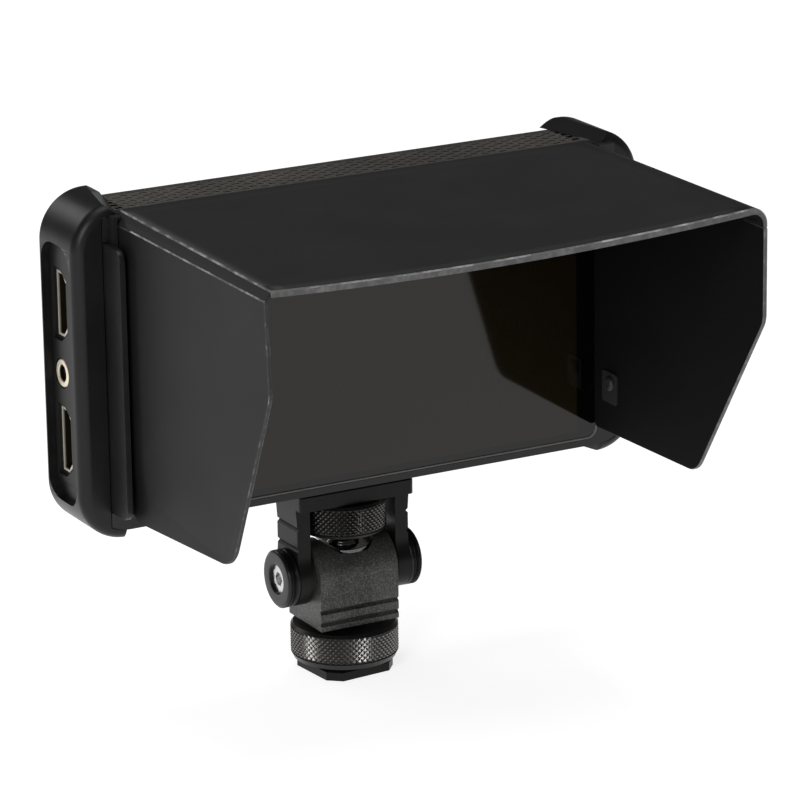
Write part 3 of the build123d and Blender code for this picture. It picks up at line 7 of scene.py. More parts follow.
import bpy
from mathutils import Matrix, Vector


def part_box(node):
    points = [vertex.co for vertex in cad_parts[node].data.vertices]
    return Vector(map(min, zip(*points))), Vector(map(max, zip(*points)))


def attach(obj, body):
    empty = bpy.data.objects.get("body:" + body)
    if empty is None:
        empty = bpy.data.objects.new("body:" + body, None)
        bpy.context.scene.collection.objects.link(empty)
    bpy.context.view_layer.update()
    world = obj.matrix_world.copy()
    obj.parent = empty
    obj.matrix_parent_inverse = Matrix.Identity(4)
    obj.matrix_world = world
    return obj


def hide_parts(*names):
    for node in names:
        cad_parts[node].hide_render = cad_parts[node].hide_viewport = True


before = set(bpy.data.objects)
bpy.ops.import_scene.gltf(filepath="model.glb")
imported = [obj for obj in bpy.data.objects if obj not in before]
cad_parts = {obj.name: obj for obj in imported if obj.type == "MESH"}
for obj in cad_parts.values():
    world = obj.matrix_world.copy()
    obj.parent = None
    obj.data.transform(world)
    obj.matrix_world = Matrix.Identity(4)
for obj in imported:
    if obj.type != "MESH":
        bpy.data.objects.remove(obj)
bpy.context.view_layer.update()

import bpy
import bmesh
from math import cos, pi, radians, sin, tan
from mathutils import Matrix, Vector

MM = 0.001
print("nodes:", len(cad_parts))


# %% Helpers for objects, materials and arcs
def add_object(name, data):
    """A new object at the origin, linked to the scene."""
    thing = bpy.data.objects.new(name, data)
    bpy.context.scene.collection.objects.link(thing)
    return thing


def set_inputs(node, values):
    """Plain values for the named sockets of a node."""
    for label, value in values.items():
        node.inputs[label].default_value = value


def new_material(name, values):
    """A material and its surface node, with the surface's plain values set."""
    material = bpy.data.materials.new(name)
    material.use_nodes = True
    surface = material.node_tree.nodes["Principled BSDF"]
    set_inputs(surface, values)
    return material, surface


def quarter(steps):
    """Angles from nothing to a right angle, both ends included."""
    return [radians(90 * step / steps) for step in range(steps + 1)]


def full_turn(steps):
    """Angles once round, without the last that would repeat the first."""
    return [2 * pi * step / steps for step in range(steps)]


# %% [markdown]
# ## Camera
# A long lens far away keeps upright edges nearly parallel, so the shape reads
# at its true proportions. The camera is placed by two angles, a small roll and
# a distance, so each can be read and changed by itself; the alternative, a raw
# matrix, tells a reader nothing.

# %% Camera
VIEW_AZ = radians(-28.41)
VIEW_EL = radians(16.99)
VIEW_ROLL = radians(-0.876)
VIEW_DISTANCE = 1.0667
VIEW_TARGET = Vector((7.877, -14.701, 67.944)) * MM
LENS_MM = 208.8
SENSOR_MM = 36

toward_camera = Vector((
    sin(VIEW_AZ) * cos(VIEW_EL),
    -cos(VIEW_AZ) * cos(VIEW_EL),
    sin(VIEW_EL),
))
level_right = Vector((cos(VIEW_AZ), sin(VIEW_AZ), 0))
level_up = toward_camera.cross(level_right)
right = cos(VIEW_ROLL) * level_right + sin(VIEW_ROLL) * level_up
up = -sin(VIEW_ROLL) * level_right + cos(VIEW_ROLL) * level_up

camera = add_object("camera", bpy.data.cameras.new("camera"))
turn = Matrix((right, up, toward_camera)).transposed()
camera.matrix_world = Matrix.Translation(
    VIEW_TARGET + toward_camera * VIEW_DISTANCE) @ turn.to_4x4()
camera.data.lens = LENS_MM
camera.data.sensor_width = SENSOR_MM
camera.data.clip_start = 0.05
camera.data.clip_end = 20
bpy.context.scene.camera = camera
print("camera at", [round(v, 4) for v in camera.location])

# %% [markdown]
# ## Floor and light
# Black parts are only seen by what they reflect, so the room matters more
# than the lamps. The floor glows a little, like a white sweep lit from below:
# the glass and the ends mirror it, and it takes the weight out of the shadow.
# The room above is dim, which keeps the flat top of the hood black. An even
# white room would turn every flat face the same grey.

# %% Floor and room
bpy.context.scene.view_settings.view_transform = "Standard"
FLOOR_SIZE = 6
FLOOR_GLOW = 0.8
ROOM_GLOW = 0.1

bpy.ops.mesh.primitive_plane_add(size=FLOOR_SIZE, location=(0, 0, 0))
floor = bpy.context.object
floor.name = "floor"
floor_paint, _ = new_material("floor_paint", {
    "Base Color": (0.6, 0.6, 0.6, 1), "Roughness": 0.9, "Specular IOR Level": 0.0,
    "Emission Color": (1, 1, 1, 1), "Emission Strength": FLOOR_GLOW})
floor.data.materials.append(floor_paint)

world = bpy.data.worlds.new("room")
world.use_nodes = True
set_inputs(world.node_tree.nodes["Background"],
           {"Color": (1, 1, 1, 1), "Strength": ROOM_GLOW})
bpy.context.scene.world = world
print("floor glow:", FLOOR_GLOW, "room glow:", ROOM_GLOW)


# %% Light panels
def light_panel(name, place, aim, size, watts):
    """A rectangular panel of soft light at place, facing aim."""
    lamp = bpy.data.lights.new(name, "AREA")
    lamp.shape = "RECTANGLE"
    lamp.size, lamp.size_y = size
    lamp.energy = watts
    panel = add_object(name, lamp)
    panel.location = place
    panel.rotation_mode = "QUATERNION"
    panel.rotation_quaternion = (Vector(aim) - Vector(place)).to_track_quat("-Z", "Y")


LIGHT_AIM = (0, -0.03, 0.07)
light_panel("key_left", (-1.0, -0.9, 0.7), LIGHT_AIM, (0.5, 0.7), 9)
light_panel("top_soft", (0.0, -0.1, 1.2), LIGHT_AIM, (0.8, 0.8), 5)
light_panel("back_rim", (-0.5, 1.1, 0.7), LIGHT_AIM, (0.8, 0.3), 2)

# %% [markdown]
# ## Finishes
# Every black part here is a slightly different black: moulded plastic with a
# fine sparkle, soft rubber, anodised metal, laminated board. One shared group
# makes the fine grain, with its scale and strength as inputs, and each
# material gives it other numbers. Painting a texture would tie the grain to
# one part; noise on object coordinates fits all of them.

# %% Node helpers
def new_group(name, inputs, outputs):
    """An empty shader group with typed sockets."""
    group = bpy.data.node_groups.new(name, "ShaderNodeTree")
    for label, kind, value in inputs:
        socket = group.interface.new_socket(label, in_out="INPUT", socket_type=kind)
        socket.default_value = value
    for label, kind in outputs:
        group.interface.new_socket(label, in_out="OUTPUT", socket_type=kind)
    entry = group.nodes.new("NodeGroupInput")
    leave = group.nodes.new("NodeGroupOutput")
    return group, entry, leave


def add_node(tree, kind, links=(), **values):
    """A node with its settings, and wires or plain values into its sockets."""
    node = tree.nodes.new(kind)
    for key, value in values.items():
        setattr(node, key, value)
    for socket, source in links:
        if hasattr(source, "is_output"):
            tree.links.new(source, node.inputs[socket])
        else:
            node.inputs[socket].default_value = source
    return node


def math_node(tree, operation, *operands):
    """The result of one sum on wires and plain numbers."""
    return add_node(tree, "ShaderNodeMath", enumerate(operands),
                    operation=operation).outputs[0]


def mix_colors(tree, share, first, second):
    """A blend of two colours; the Mix node keeps them in sockets 6, 7 and 2."""
    return add_node(tree, "ShaderNodeMix", [("Factor", share), (6, first), (7, second)],
                    data_type="RGBA").outputs[2]


# %% Group: fine grain
PATCH_ROUGHNESS = 0.15

grain_group, entry, leave = new_group(
    "fine_grain",
    [("Color", "NodeSocketColor", (0.03, 0.03, 0.03, 1)),
     ("Light Color", "NodeSocketColor", (0.05, 0.05, 0.05, 1)),
     ("Scale", "NodeSocketFloat", 4000.0),
     ("Roughness", "NodeSocketFloat", 0.5),
     ("Bump", "NodeSocketFloat", 0.1)],
    [("Color", "NodeSocketColor"), ("Roughness", "NodeSocketFloat"),
     ("Normal", "NodeSocketVector")])
place = add_node(grain_group, "ShaderNodeTexCoord")
fine = add_node(grain_group, "ShaderNodeTexNoise",
                [("Vector", place.outputs["Object"]), ("Scale", entry.outputs["Scale"]),
                 ("Detail", 3.0)])
patches = add_node(grain_group, "ShaderNodeTexNoise",
                   [("Vector", place.outputs["Object"]), ("Scale", 60.0), ("Detail", 4.0)])
patch_range = add_node(grain_group, "ShaderNodeMapRange",
                       [("Value", patches.outputs["Fac"]), ("From Min", 0.35),
                        ("From Max", 0.7), ("To Min", 0.0), ("To Max", 0.35)])
speck = add_node(grain_group, "ShaderNodeMapRange",
                 [("Value", fine.outputs["Fac"]), ("From Min", 0.45), ("From Max", 0.75),
                  ("To Min", 0.0), ("To Max", 0.5)])
light_share = math_node(grain_group, "ADD", patch_range.outputs["Result"],
                        speck.outputs["Result"])
tone = mix_colors(grain_group, light_share, entry.outputs["Color"],
                  entry.outputs["Light Color"])
rough = math_node(grain_group, "MULTIPLY_ADD", patch_range.outputs["Result"],
                  PATCH_ROUGHNESS, entry.outputs["Roughness"])
bump = add_node(grain_group, "ShaderNodeBump",
                [("Height", fine.outputs["Fac"]), ("Strength", entry.outputs["Bump"]),
                 ("Distance", 0.1 * MM)])
grain_group.links.new(tone, leave.inputs["Color"])
grain_group.links.new(rough, leave.inputs["Roughness"])
grain_group.links.new(bump.outputs["Normal"], leave.inputs["Normal"])
print("group:", grain_group.name, "inputs:", len(entry.outputs) - 1)


# %% Materials from the grain
def group_material(name, group, settings, wires, values):
    """A material whose surface reads a shared group, with plain values for the rest."""
    material, surface = new_material(name, values)
    shared = add_node(material.node_tree, "ShaderNodeGroup", node_tree=group)
    set_inputs(shared, settings)
    for output, socket in wires.items():
        material.node_tree.links.new(shared.outputs[output], surface.inputs[socket])
    return material


def grained(name, color, light, scale, roughness, bump_amount, **shader):
    """A material whose colour, roughness and normal come from the grain."""
    return group_material(
        name, grain_group,
        {"Color": (*color, 1), "Light Color": (*light, 1), "Scale": scale,
         "Roughness": roughness, "Bump": bump_amount},
        {"Color": "Base Color", "Roughness": "Roughness", "Normal": "Normal"},
        {label.replace("_", " "): value for label, value in shader.items()})


def grey(value, warm=0.0):
    """A neutral colour, warmed a little towards brown."""
    return (value * (1 + warm), value, value * (1 - warm))


moulded = grained("moulded_black", grey(0.006), grey(0.018), 3500, 0.42, 0.12,
                  Specular_IOR_Level=0.35)
soft_cap = grained("soft_cap_black", grey(0.005), grey(0.012), 5000, 0.34, 0.08,
                   Specular_IOR_Level=0.24)
board_black = grained("hood_board_black", grey(0.012), grey(0.022), 2500, 0.45, 0.08,
                      Specular_IOR_Level=0.35)
cloth_hinge = grained("hood_cloth_hinge", grey(0.008), grey(0.022), 6000, 0.6, 0.3,
                      Specular_IOR_Level=0.3)
anodised = grained("anodised_black", grey(0.016), grey(0.035), 6000, 0.34, 0.06,
                   Metallic=0.6)
bright_steel = grained("bright_steel", grey(0.55), grey(0.75), 3000, 0.22, 0.05,
                       Metallic=1.0)
gold = grained("gold_plate", (0.75, 0.5, 0.18), (0.85, 0.62, 0.28), 2500, 0.25, 0.05,
               Metallic=1.0)
raw_aluminium = grained("raw_aluminium", grey(0.6), grey(0.7), 2500, 0.35, 0.1,
                        Metallic=1.0)
insert_black = grained("insert_black", grey(0.01), grey(0.02), 3000, 0.5, 0.1)
pad_rubber = grained("pad_rubber", grey(0.012), grey(0.02), 4500, 0.75, 0.2)
grille_metal = grained("grille_metal", grey(0.062, 0.1), grey(0.15, 0.1), 2600, 0.4, 0.1,
                       Metallic=0.4)
circuit_green = grained("circuit_green", (0.01, 0.08, 0.03), (0.02, 0.16, 0.06), 900,
                        0.4, 0.1)
display_dark = grained("display_dark", grey(0.012), grey(0.02), 2500, 0.2, 0.02)
print("materials:", len(bpy.data.materials))

# %% [markdown]
# ## The glass
# One sheet of glossy glass covers the display and its black border. Switched
# off, the lit area is a shade lighter and browner than the border, because
# the polariser underneath sends a little light back. A mask from object
# coordinates finds that area, so the split needs no extra geometry.

# %% Glass
ACTIVE_W = 110.7 * MM
ACTIVE_H = 62.3 * MM
BODY_FOOT = 48.5 * MM
ACTIVE_RISE = 35.05 * MM  # from the body's foot to the middle of the lit area
BORDER_BLACK = (0.001, 0.001, 0.0015, 1)
UNLIT_BROWN = (0.009, 0.0065, 0.003, 1)


def inside_band(tree, value, middle, size):
    """One where a value lies within a band about its middle, zero elsewhere."""
    away = math_node(tree, "ABSOLUTE", math_node(tree, "SUBTRACT", value, middle))
    return math_node(tree, "LESS_THAN", away, size / 2)


glass, surface = new_material("tinted_glass", {
    "Roughness": 0.06, "IOR": 1.5, "Specular IOR Level": 0.37})
tree = glass.node_tree
place = add_node(tree, "ShaderNodeTexCoord")
split = add_node(tree, "ShaderNodeSeparateXYZ", [("Vector", place.outputs["Object"])])
in_width = inside_band(tree, split.outputs["X"], 0.0, ACTIVE_W)
in_height = inside_band(tree, split.outputs["Z"], BODY_FOOT + ACTIVE_RISE, ACTIVE_H)
tint = mix_colors(tree, math_node(tree, "MULTIPLY", in_width, in_height), BORDER_BLACK,
                  UNLIT_BROWN)
tree.links.new(tint, surface.inputs["Base Color"])
print("lit area:", round(ACTIVE_W * 1000, 1), "x", round(ACTIVE_H * 1000, 1), "mm")

# %% [markdown]
# ## Finish of the measured parts
# Most small parts keep their measured shape and only need their finish. A
# table of finish to part names keeps that choice readable in one place. The
# mount, the sockets and one rivet get theirs later, beside their materials, and
# a part that a new shape replaces needs none.

# %% Finishes of the frame's own parts
FINISH_OF = (
    (moulded, ("front_frame", "rear_housing", "battery_plate", "battery_latch",
               "power_button", "left_rail", "right_rail")),
    (soft_cap, ("left_bumper", "right_bumper")),
    (glass, ("cover_glass",)),
    (display_dark, ("lcd_panel",)),
    (circuit_green, ("main_board",)),
    (insert_black, ("hdmi_tongues", "headphone_jack", "dc_socket", "contact_block",
                    "power_switch", "left_hood_clip", "right_hood_clip",
                    "right_hood_rivet", "friction_washers")),
    (gold, ("battery_contacts", "thread_bush")),
    (raw_aluminium, ("heat_spreader",)),
    (bright_steel, ("board_screws", "plate_screws", "housing_screws", "pivot_screws",
                    "stud_ring", "mounting_stud")),
    (pad_rubber, ("mount_pad",)),
)
dressed = set()


def dress(node_name, material):
    """Give a measured part one finish."""
    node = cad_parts[node_name]
    node.data.materials.clear()
    node.data.materials.append(material)
    dressed.add(node_name)


def dress_all(finishes):
    """Give each part in a table its finish."""
    for material, node_names in finishes:
        for node_name in node_names:
            dress(node_name, material)


dress_all(FINISH_OF)
print("dressed so far:", len(dressed), "of", len(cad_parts))

# %% [markdown]
# ## Hood boards
# The real hood is stiff board laminated with black cloth: flat, thin, with a
# paler worn line wherever the board was cut. A plate with its rim in a second
# material gives that line from real geometry, and the rim's small rounded or
# slanted corners catch the light. A texture painted near the edge would blur.

# %% Hood sizes
HOOD_X = -1.0 * MM         # middle of the hood
HOOD_BACK = -14.6 * MM     # its back edge
HOOD_LENGTH = 72.5 * MM
HOOD_HALF = 61.9 * MM      # half its width
HOOD_TOP = 122.6 * MM
HOOD_FALL = 0.6 * MM       # the side boards' hinge lines fall this much to the front
BOARD = 1.5 * MM           # thickness of the top
SIDE_BOARD = 1.0 * MM      # thickness of the sides
SPINE_DROP = 2.6 * MM      # how far the slanted strip at the left comes down
SPINE_IN = 1.7 * MM        # and how far in from the side it starts
BEND_R = 4.0 * MM          # the soft corner at the right
SHUT_GAP = 0.2 * MM        # between a fold and the edge of its side board
CLOTH_GAP = 0.09 * MM      # the right corner's cloth stops this far above its board
LIP_SET = 0.34 * MM        # the top's board stops this far behind the lip's face
SAG = 1.75 * MM            # sag of the front edge in its middle
DROOP_LEFT = 1.25 * MM     # droop of its left end
DROOP_RIGHT = -0.1 * MM    # the right end stands up a little instead
TOP_LEFT = HOOD_X - HOOD_HALF + SPINE_IN
TOP_RIGHT = HOOD_X + HOOD_HALF - BEND_R
HOOD_ROWS = 16             # steps from back to front
print("top board:", round((TOP_RIGHT - TOP_LEFT) * 1000, 1), "mm wide")

# %% Blacks of the sides and the lining
side_black = grained("hood_side_black", grey(0.008), grey(0.016), 2500, 0.42, 0.08,
                     Specular_IOR_Level=0.11)
lining_black = grained("hood_lining_black", grey(0.002), grey(0.005), 5000, 0.75, 0.15,
                       Specular_IOR_Level=0.12)
# this rivet ends flush with the outside of its board and is as black as the cloth
dress("left_hood_rivet", side_black)
print("hood blacks:", side_black.name, lining_black.name)

# %% [markdown]
# ## Worn arrises
# Handling rubs the cloth off the sharp corners of the boards first, in patches
# of uneven length. A group turns noise into a wear mask, and each edge material
# uses it between its dark and its rubbed colour. Wear from curvature would need
# baking, and would miss the patches.

# %% Group: edge wear
wear_group, entry, leave = new_group(
    "edge_wear",
    [("Dark", "NodeSocketColor", (0.03, 0.03, 0.03, 1)),
     ("Rubbed", "NodeSocketColor", (0.4, 0.4, 0.4, 1)),
     ("Patch Scale", "NodeSocketFloat", 140.0),
     ("Coverage", "NodeSocketFloat", 0.5)],
    [("Color", "NodeSocketColor")])
place = add_node(wear_group, "ShaderNodeTexCoord")
patches = add_node(wear_group, "ShaderNodeTexNoise",
                   [("Vector", place.outputs["Object"]),
                    ("Scale", entry.outputs["Patch Scale"]), ("Detail", 5.0),
                    ("Roughness", 0.65)])
threshold = math_node(wear_group, "SUBTRACT", 1.0, entry.outputs["Coverage"])
mask = add_node(wear_group, "ShaderNodeMapRange",
                [("Value", patches.outputs["Fac"]), ("From Min", threshold),
                 ("From Max", 0.75)]).outputs["Result"]
tone = mix_colors(wear_group, mask, entry.outputs["Dark"], entry.outputs["Rubbed"])
wear_group.links.new(tone, leave.inputs["Color"])
print("group:", wear_group.name, "inputs:", len(entry.outputs) - 1)


# %% Edge materials
def worn(name, dark, rubbed_and_painted_light, scale, coverage):
    """A cut-edge material: dark body with rubbed patches."""
    return group_material(
        name, wear_group,
        {"Dark": (*grey(dark), 1), "Rubbed": (*grey(rubbed_and_painted_light), 1), "Patch Scale": scale,
         "Coverage": coverage},
        {"Color": "Base Color"}, {"Roughness": 0.6})


cut_edge = worn("hood_cut_edge", 0.07, 0.16, 420, 0.55)
# the lip's rounded corner: rubbed patches in a grey pale enough to stand in for the corner's
# highlight too, so wear and a painted highlight
arris_wear_and_highlight = worn("hood_arris_wear_and_highlight", 0.12, 0.5, 260, 0.55)
# a darker copy of the cut edge, for the left board's front rim
darker_cut_edge = worn("hood_darker_cut_edge", 0.010, 0.05, 500, 0.5)
scuffed_arris = worn("hood_scuffed_arris", 0.02, 0.22, 300, 0.5)
fold_bead = worn("hood_fold_bead", 0.07, 0.45, 260, 0.56)
print("edge materials:", [m.name for m in (cut_edge, arris_wear_and_highlight, darker_cut_edge, scuffed_arris,
                                           fold_bead)])

# %% [markdown]
# ## Top board and its lip
# The top is one board that sags between its folds and droops at its left end,
# so it is a grid whose height follows a formula. Its open edge is cut square:
# that lip is a small section swept along the edge and round the right corner,
# so that it can wear its own material. A flat box would need a cloth run to sag.

# %% Mesh helpers
MERGE = 1e-7
WELD = 0.002 * MM
BEVEL_STEPS = 2
SHARP_ANGLE = radians(38)


def finish_mesh(name, verts, faces, materials, face_material=None, smooth=False):
    """A mesh object at the origin, normals outwards, one material per face."""
    mesh = bpy.data.meshes.new(name)
    mesh.from_pydata([tuple(v) for v in verts], [], faces)
    for material in materials:
        mesh.materials.append(material)
    if face_material:
        for index, polygon in enumerate(mesh.polygons):
            polygon.material_index = face_material[index]
    work = bmesh.new()
    work.from_mesh(mesh)
    bmesh.ops.remove_doubles(work, verts=work.verts, dist=MERGE)
    bmesh.ops.recalc_face_normals(work, faces=work.faces)
    for face in work.faces:
        face.smooth = smooth
    work.to_mesh(mesh)
    work.free()
    return add_object(name, mesh)


def round_edges(thing, width):
    """A small bevel on the sharp edges, as a mould or a file leaves them."""
    weld = thing.modifiers.new("welded", "WELD")
    weld.merge_threshold = WELD
    bevel = thing.modifiers.new("rounded", "BEVEL")
    bevel.width = width
    bevel.segments = BEVEL_STEPS
    bevel.limit_method = "ANGLE"
    bevel.angle_limit = SHARP_ANGLE
    for polygon in thing.data.polygons:
        polygon.use_smooth = True
    flat = thing.modifiers.new("flat_faces_flat", "WEIGHTED_NORMAL")
    flat.keep_sharp = True


def ring_faces(rings, count, closed=False):
    """Quads from each ring of count points to the next; closed joins last to first."""
    faces = []
    for ring in range(rings if closed else rings - 1):
        here, there = ring * count, (ring + 1) % rings * count
        for index in range(count):
            after = (index + 1) % count
            faces.append((here + index, here + after, there + after, there + index))
    return faces


def turned_over(quads):
    """The same quads, wound the other way from the same first corner."""
    return [(a, d, c, b) for a, b, c, d in quads]


def loft(sections):
    """A skin over a row of equal sections, with a cap at each end."""
    count = len(sections[0])
    verts = [point for section in sections for point in section]
    faces = ring_faces(len(sections), count)
    faces.append(tuple(range(count)))
    faces.append(tuple(range(len(verts) - count, len(verts))))
    return verts, faces


def swept(name, line, radii, across, material, depth=1.0, around=8):
    """A round bead along a line; depth is its size across, as a share of its width."""
    sections = []
    for index, (point, radius) in enumerate(zip(line, radii)):
        ahead = (line[min(index + 1, len(line) - 1)] - line[max(index - 1, 0)]).normalized()
        side = ahead.cross(across).normalized()
        sections.append([point + side * (radius * cos(angle))
                         + side.cross(ahead) * (radius * depth * sin(angle))
                         for angle in full_turn(around)])
    verts, faces = loft(sections)
    return finish_mesh(name, verts, faces, [material], smooth=True)


# %% Top board
def along_hood(forward_share):
    """How far forward a place on the hood is, from a share of its length."""
    return HOOD_BACK - (HOOD_LENGTH - LIP_SET) * forward_share


def stations():
    """Shares of the hood's length from back to front, each with its Y."""
    return [(row / HOOD_ROWS, along_hood(row / HOOD_ROWS)) for row in range(HOOD_ROWS + 1)]


def side_top(drop, forward_share):
    """Height of a side board's top edge."""
    return HOOD_TOP - drop - SHUT_GAP - HOOD_FALL * forward_share


def top_height(x, forward_share):
    """Height of the top's upper face: it droops at one end, sags in the middle."""
    share = (x - TOP_LEFT) / (TOP_RIGHT - TOP_LEFT)
    droop = DROOP_LEFT + (DROOP_RIGHT - DROOP_LEFT) * share
    sag = SAG * (1 - (2 * share - 1) ** 2) * forward_share ** 2
    return HOOD_TOP - droop * forward_share - sag


def make_top_board(columns=28):
    """The top: cloth above, lining below, its front rim cut."""
    cloth, cut, lining = 0, 1, 2
    verts, faces, paint = [], [], []
    for depth in (0, BOARD):
        for forward, y in stations():
            for column in range(columns + 1):
                x = TOP_LEFT + (TOP_RIGHT - TOP_LEFT) * column / columns
                verts.append(Vector((x, y, top_height(x, forward) - depth)))
    layer_size = (HOOD_ROWS + 1) * (columns + 1)

    def at(layer, row, column):
        """Number of one grid point."""
        return layer * layer_size + row * (columns + 1) + column

    for layer in (0, 1):
        for row in range(HOOD_ROWS):
            for column in range(columns):
                faces.append((at(layer, row, column), at(layer, row, column + 1),
                              at(layer, row + 1, column + 1), at(layer, row + 1, column)))
                paint.append(cloth if layer == 0 else lining)
    for row in range(HOOD_ROWS):
        for column in (0, columns):
            faces.append((at(0, row, column), at(0, row + 1, column),
                          at(1, row + 1, column), at(1, row, column)))
            paint.append(cloth)
    for column in range(columns):
        for row in (0, HOOD_ROWS):
            faces.append((at(0, row, column), at(0, row, column + 1),
                          at(1, row, column + 1), at(1, row, column)))
            paint.append(cut if row else cloth)
    return finish_mesh("hood_top", verts, faces, [board_black, cut_edge, lining_black],
                       paint, smooth=True)


hood_top = make_top_board()
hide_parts("hood_top_panel")
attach(hood_top, "hood")
print("hood_top faces:", len(hood_top.data.polygons))

# %% Front lip of the top
LIP_CORNER = 0.32 * MM
LIP_STEPS = 4
LIP_PROUD = 0.02 * MM


def right_bend(steps):
    """Up-directions and thicknesses round the right corner, from top to side."""
    bend = []
    for step, angle in enumerate(quarter(steps)):
        bend.append((Vector((sin(angle), 0, cos(angle))),
                     BOARD + (SIDE_BOARD - BOARD) * step / steps))
    return bend


def lip_section(start, upward, outward, thickness):
    """A rim with a rounded top corner: points across the thickness."""
    points = []
    for angle in quarter(LIP_STEPS):
        points.append(start + outward * (LIP_CORNER * sin(angle))
                      + upward * (LIP_CORNER * (cos(angle) - 1)))
    points.append(start + outward * LIP_CORNER - upward * thickness)
    points.append(start - upward * thickness)
    return points


def front_path(steps_top=40, steps_bend=10):
    """Points and up-directions of the open edge, from left to round the bend."""
    path = []
    front_y = HOOD_BACK - HOOD_LENGTH
    for step in range(steps_top + 1):
        x = TOP_LEFT + (TOP_RIGHT - TOP_LEFT) * step / steps_top
        path.append((Vector((x, front_y, top_height(x, 1.0))), Vector((0, 0, 1)), BOARD))
    centre = Vector((TOP_RIGHT, front_y, top_height(TOP_RIGHT, 1.0) - BEND_R))
    for upward, thickness in right_bend(steps_bend)[1:]:
        path.append((centre + upward * BEND_R, upward, thickness))
    foot = path[-1][0].copy()
    foot.z = side_top(BEND_R, 1.0) + CLOTH_GAP
    path.append((foot, upward, SIDE_BOARD))
    return path


def make_front_lip():
    """The cut lip, its rounded corner paler than its face: rubbed wear and a painted
    highlight.
    """
    face, arris = 0, 1
    outward = Vector((0, -1, 0))
    sections = []
    for spot, upward, thickness in front_path():
        start = spot - outward * LIP_SET + upward * LIP_PROUD
        sections.append(lip_section(start, upward, outward, thickness))
    verts, faces = loft(sections)
    count = len(sections[0])
    paint = [arris if index % count < LIP_STEPS else face for index in range(len(faces) - 2)]
    paint += [face, face]
    return finish_mesh("hood_front_lip", verts, faces, [cut_edge, arris_wear_and_highlight], paint)


front_lip = make_front_lip()
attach(front_lip, "hood")
print("front lip faces:", len(front_lip.data.polygons))

# %% [markdown]
# ## The two folds
# At the left the cloth runs down a slanted strip between two rubbed beads; at
# the right it turns one soft corner. Both are swept along the hood: the left
# from a strip and two thin round beads, the right from a quarter ring. Bending
# one long sheet would hide where the hinges are.

# %% Left fold
STRIP_SINK = 0.25 * MM     # the strip starts this far under the top's face
STRIP_HOLLOW = 0.35 * MM   # and is this hollow
STRIP_MIDDLE_IN = 0.9 * MM
STRIP_FOOT_IN = 0.15 * MM


def make_left_fold():
    """The slanted strip between the top and the left board."""
    outer = HOOD_X - HOOD_HALF
    sections = []
    for forward, y in stations():
        high = top_height(TOP_LEFT, forward)
        low = side_top(SPINE_DROP, forward) + SHUT_GAP
        sections.append([
            Vector((TOP_LEFT, y, high - STRIP_SINK)),
            Vector((outer + STRIP_MIDDLE_IN, y, (high + low) / 2 - STRIP_HOLLOW)),
            Vector((outer + STRIP_FOOT_IN, y, low)),
            Vector((outer + SIDE_BOARD, y, low)),
            Vector((TOP_LEFT, y, high - BOARD)),
        ])
    verts, faces = loft(sections)
    return finish_mesh("hood_left_fold", verts, faces, [cloth_hinge])


left_fold = make_left_fold()
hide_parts("left_hinge_spine")
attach(left_fold, "hood")
print("left fold faces:", len(left_fold.data.polygons))

# %% Beads of the left fold
BEAD_RIPPLES = ((0.05, 2.3), (0.03, 5.1))  # share of the radius, turn per point
LOWER_BEAD_START = 0.113                   # ahead of the rail, which it would cut


def make_bead(name, x, start, height_at, radius, steps=60):
    """A bead along the hood at one x, a little uneven as a rubbed fold is."""
    line, radii = [], []
    for step in range(steps + 1):
        share = start + (1 - start) * step / steps
        line.append(Vector((x, along_hood(share), height_at(share))))
        ripple = sum(size * sin(step * pace) for size, pace in BEAD_RIPPLES)
        radii.append(radius * (1 + ripple))
    return swept(name, line, radii, Vector((0, 0, 1)), fold_bead)


upper_bead = make_bead(
    "hood_upper_bead", x=TOP_LEFT + 0.05 * MM, start=0.0, radius=0.28 * MM,
    height_at=lambda share: top_height(TOP_LEFT, share) - 0.16 * MM)
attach(upper_bead, "hood")

lower_bead = make_bead(
    "hood_lower_bead", x=HOOD_X - HOOD_HALF + 0.32 * MM, start=LOWER_BEAD_START,
    radius=0.33 * MM, height_at=lambda share: side_top(SPINE_DROP, share) - 0.05 * MM)
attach(lower_bead, "hood_left")
print("beads:", len(upper_bead.data.polygons), len(lower_bead.data.polygons))


# %% Right fold
def make_right_fold(around=10):
    """The soft corner between the top and the right board."""
    cloth, lining = 0, 1
    sections = []
    for forward, y in stations():
        centre = Vector((TOP_RIGHT, y, top_height(TOP_RIGHT, forward) - BEND_R))
        low = side_top(BEND_R, forward) + CLOTH_GAP
        outer, inner = [], []
        for upward, thickness in right_bend(around):
            outer.append(centre + upward * BEND_R)
            inner.append(centre + upward * (BEND_R - thickness))
        # the cloth hangs straight from the bend to the side board
        outer.append(Vector((outer[-1].x, y, low)))
        inner.append(Vector((inner[-1].x, y, low)))
        sections.append(outer + list(reversed(inner)))
    verts, faces = loft(sections)
    count = len(sections[0])
    paint = [cloth if index % count < around + 1 else lining
             for index in range(len(faces) - 2)]
    paint += [cloth, lining]
    return finish_mesh("hood_right_fold", verts, faces, [board_black, lining_black], paint,
                       smooth=True)


right_fold = make_right_fold()
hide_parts("right_hinge_strip")
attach(right_fold, "hood")
print("right fold faces:", len(right_fold.data.polygons))

# %% [markdown]
# ## Side boards
# Each side is a stiff plate that hangs from its fold, with a slanted front
# below a soft knee and round lower corners. Its outline is five corners, each
# with its own radius, and four rings of that outline across the thickness give
# the two faces, the rim and its two arrises. Cutting it out of a plate would
# leave no clean rim for the worn edge materials.

# %% Rounded outline of a board
def rounded_outline(corners, radii, steps):
    """Corner points with each corner turned into an arc of its own radius."""
    outline = []
    count = len(corners)
    for index in range(count):
        here = Vector(corners[index])
        before = (Vector(corners[index - 1]) - here).normalized()
        after = (Vector(corners[(index + 1) % count]) - here).normalized()
        radius = radii[index]
        half_turn = before.angle(after) / 2
        reach = radius / tan(half_turn)
        middle = here + (before + after).normalized() * (radius / sin(half_turn))
        start = here + before * reach - middle
        end = here + after * reach - middle
        for step in range(steps + 1):
            outline.append(middle + start.slerp(end, step / steps) * radius)
    return outline


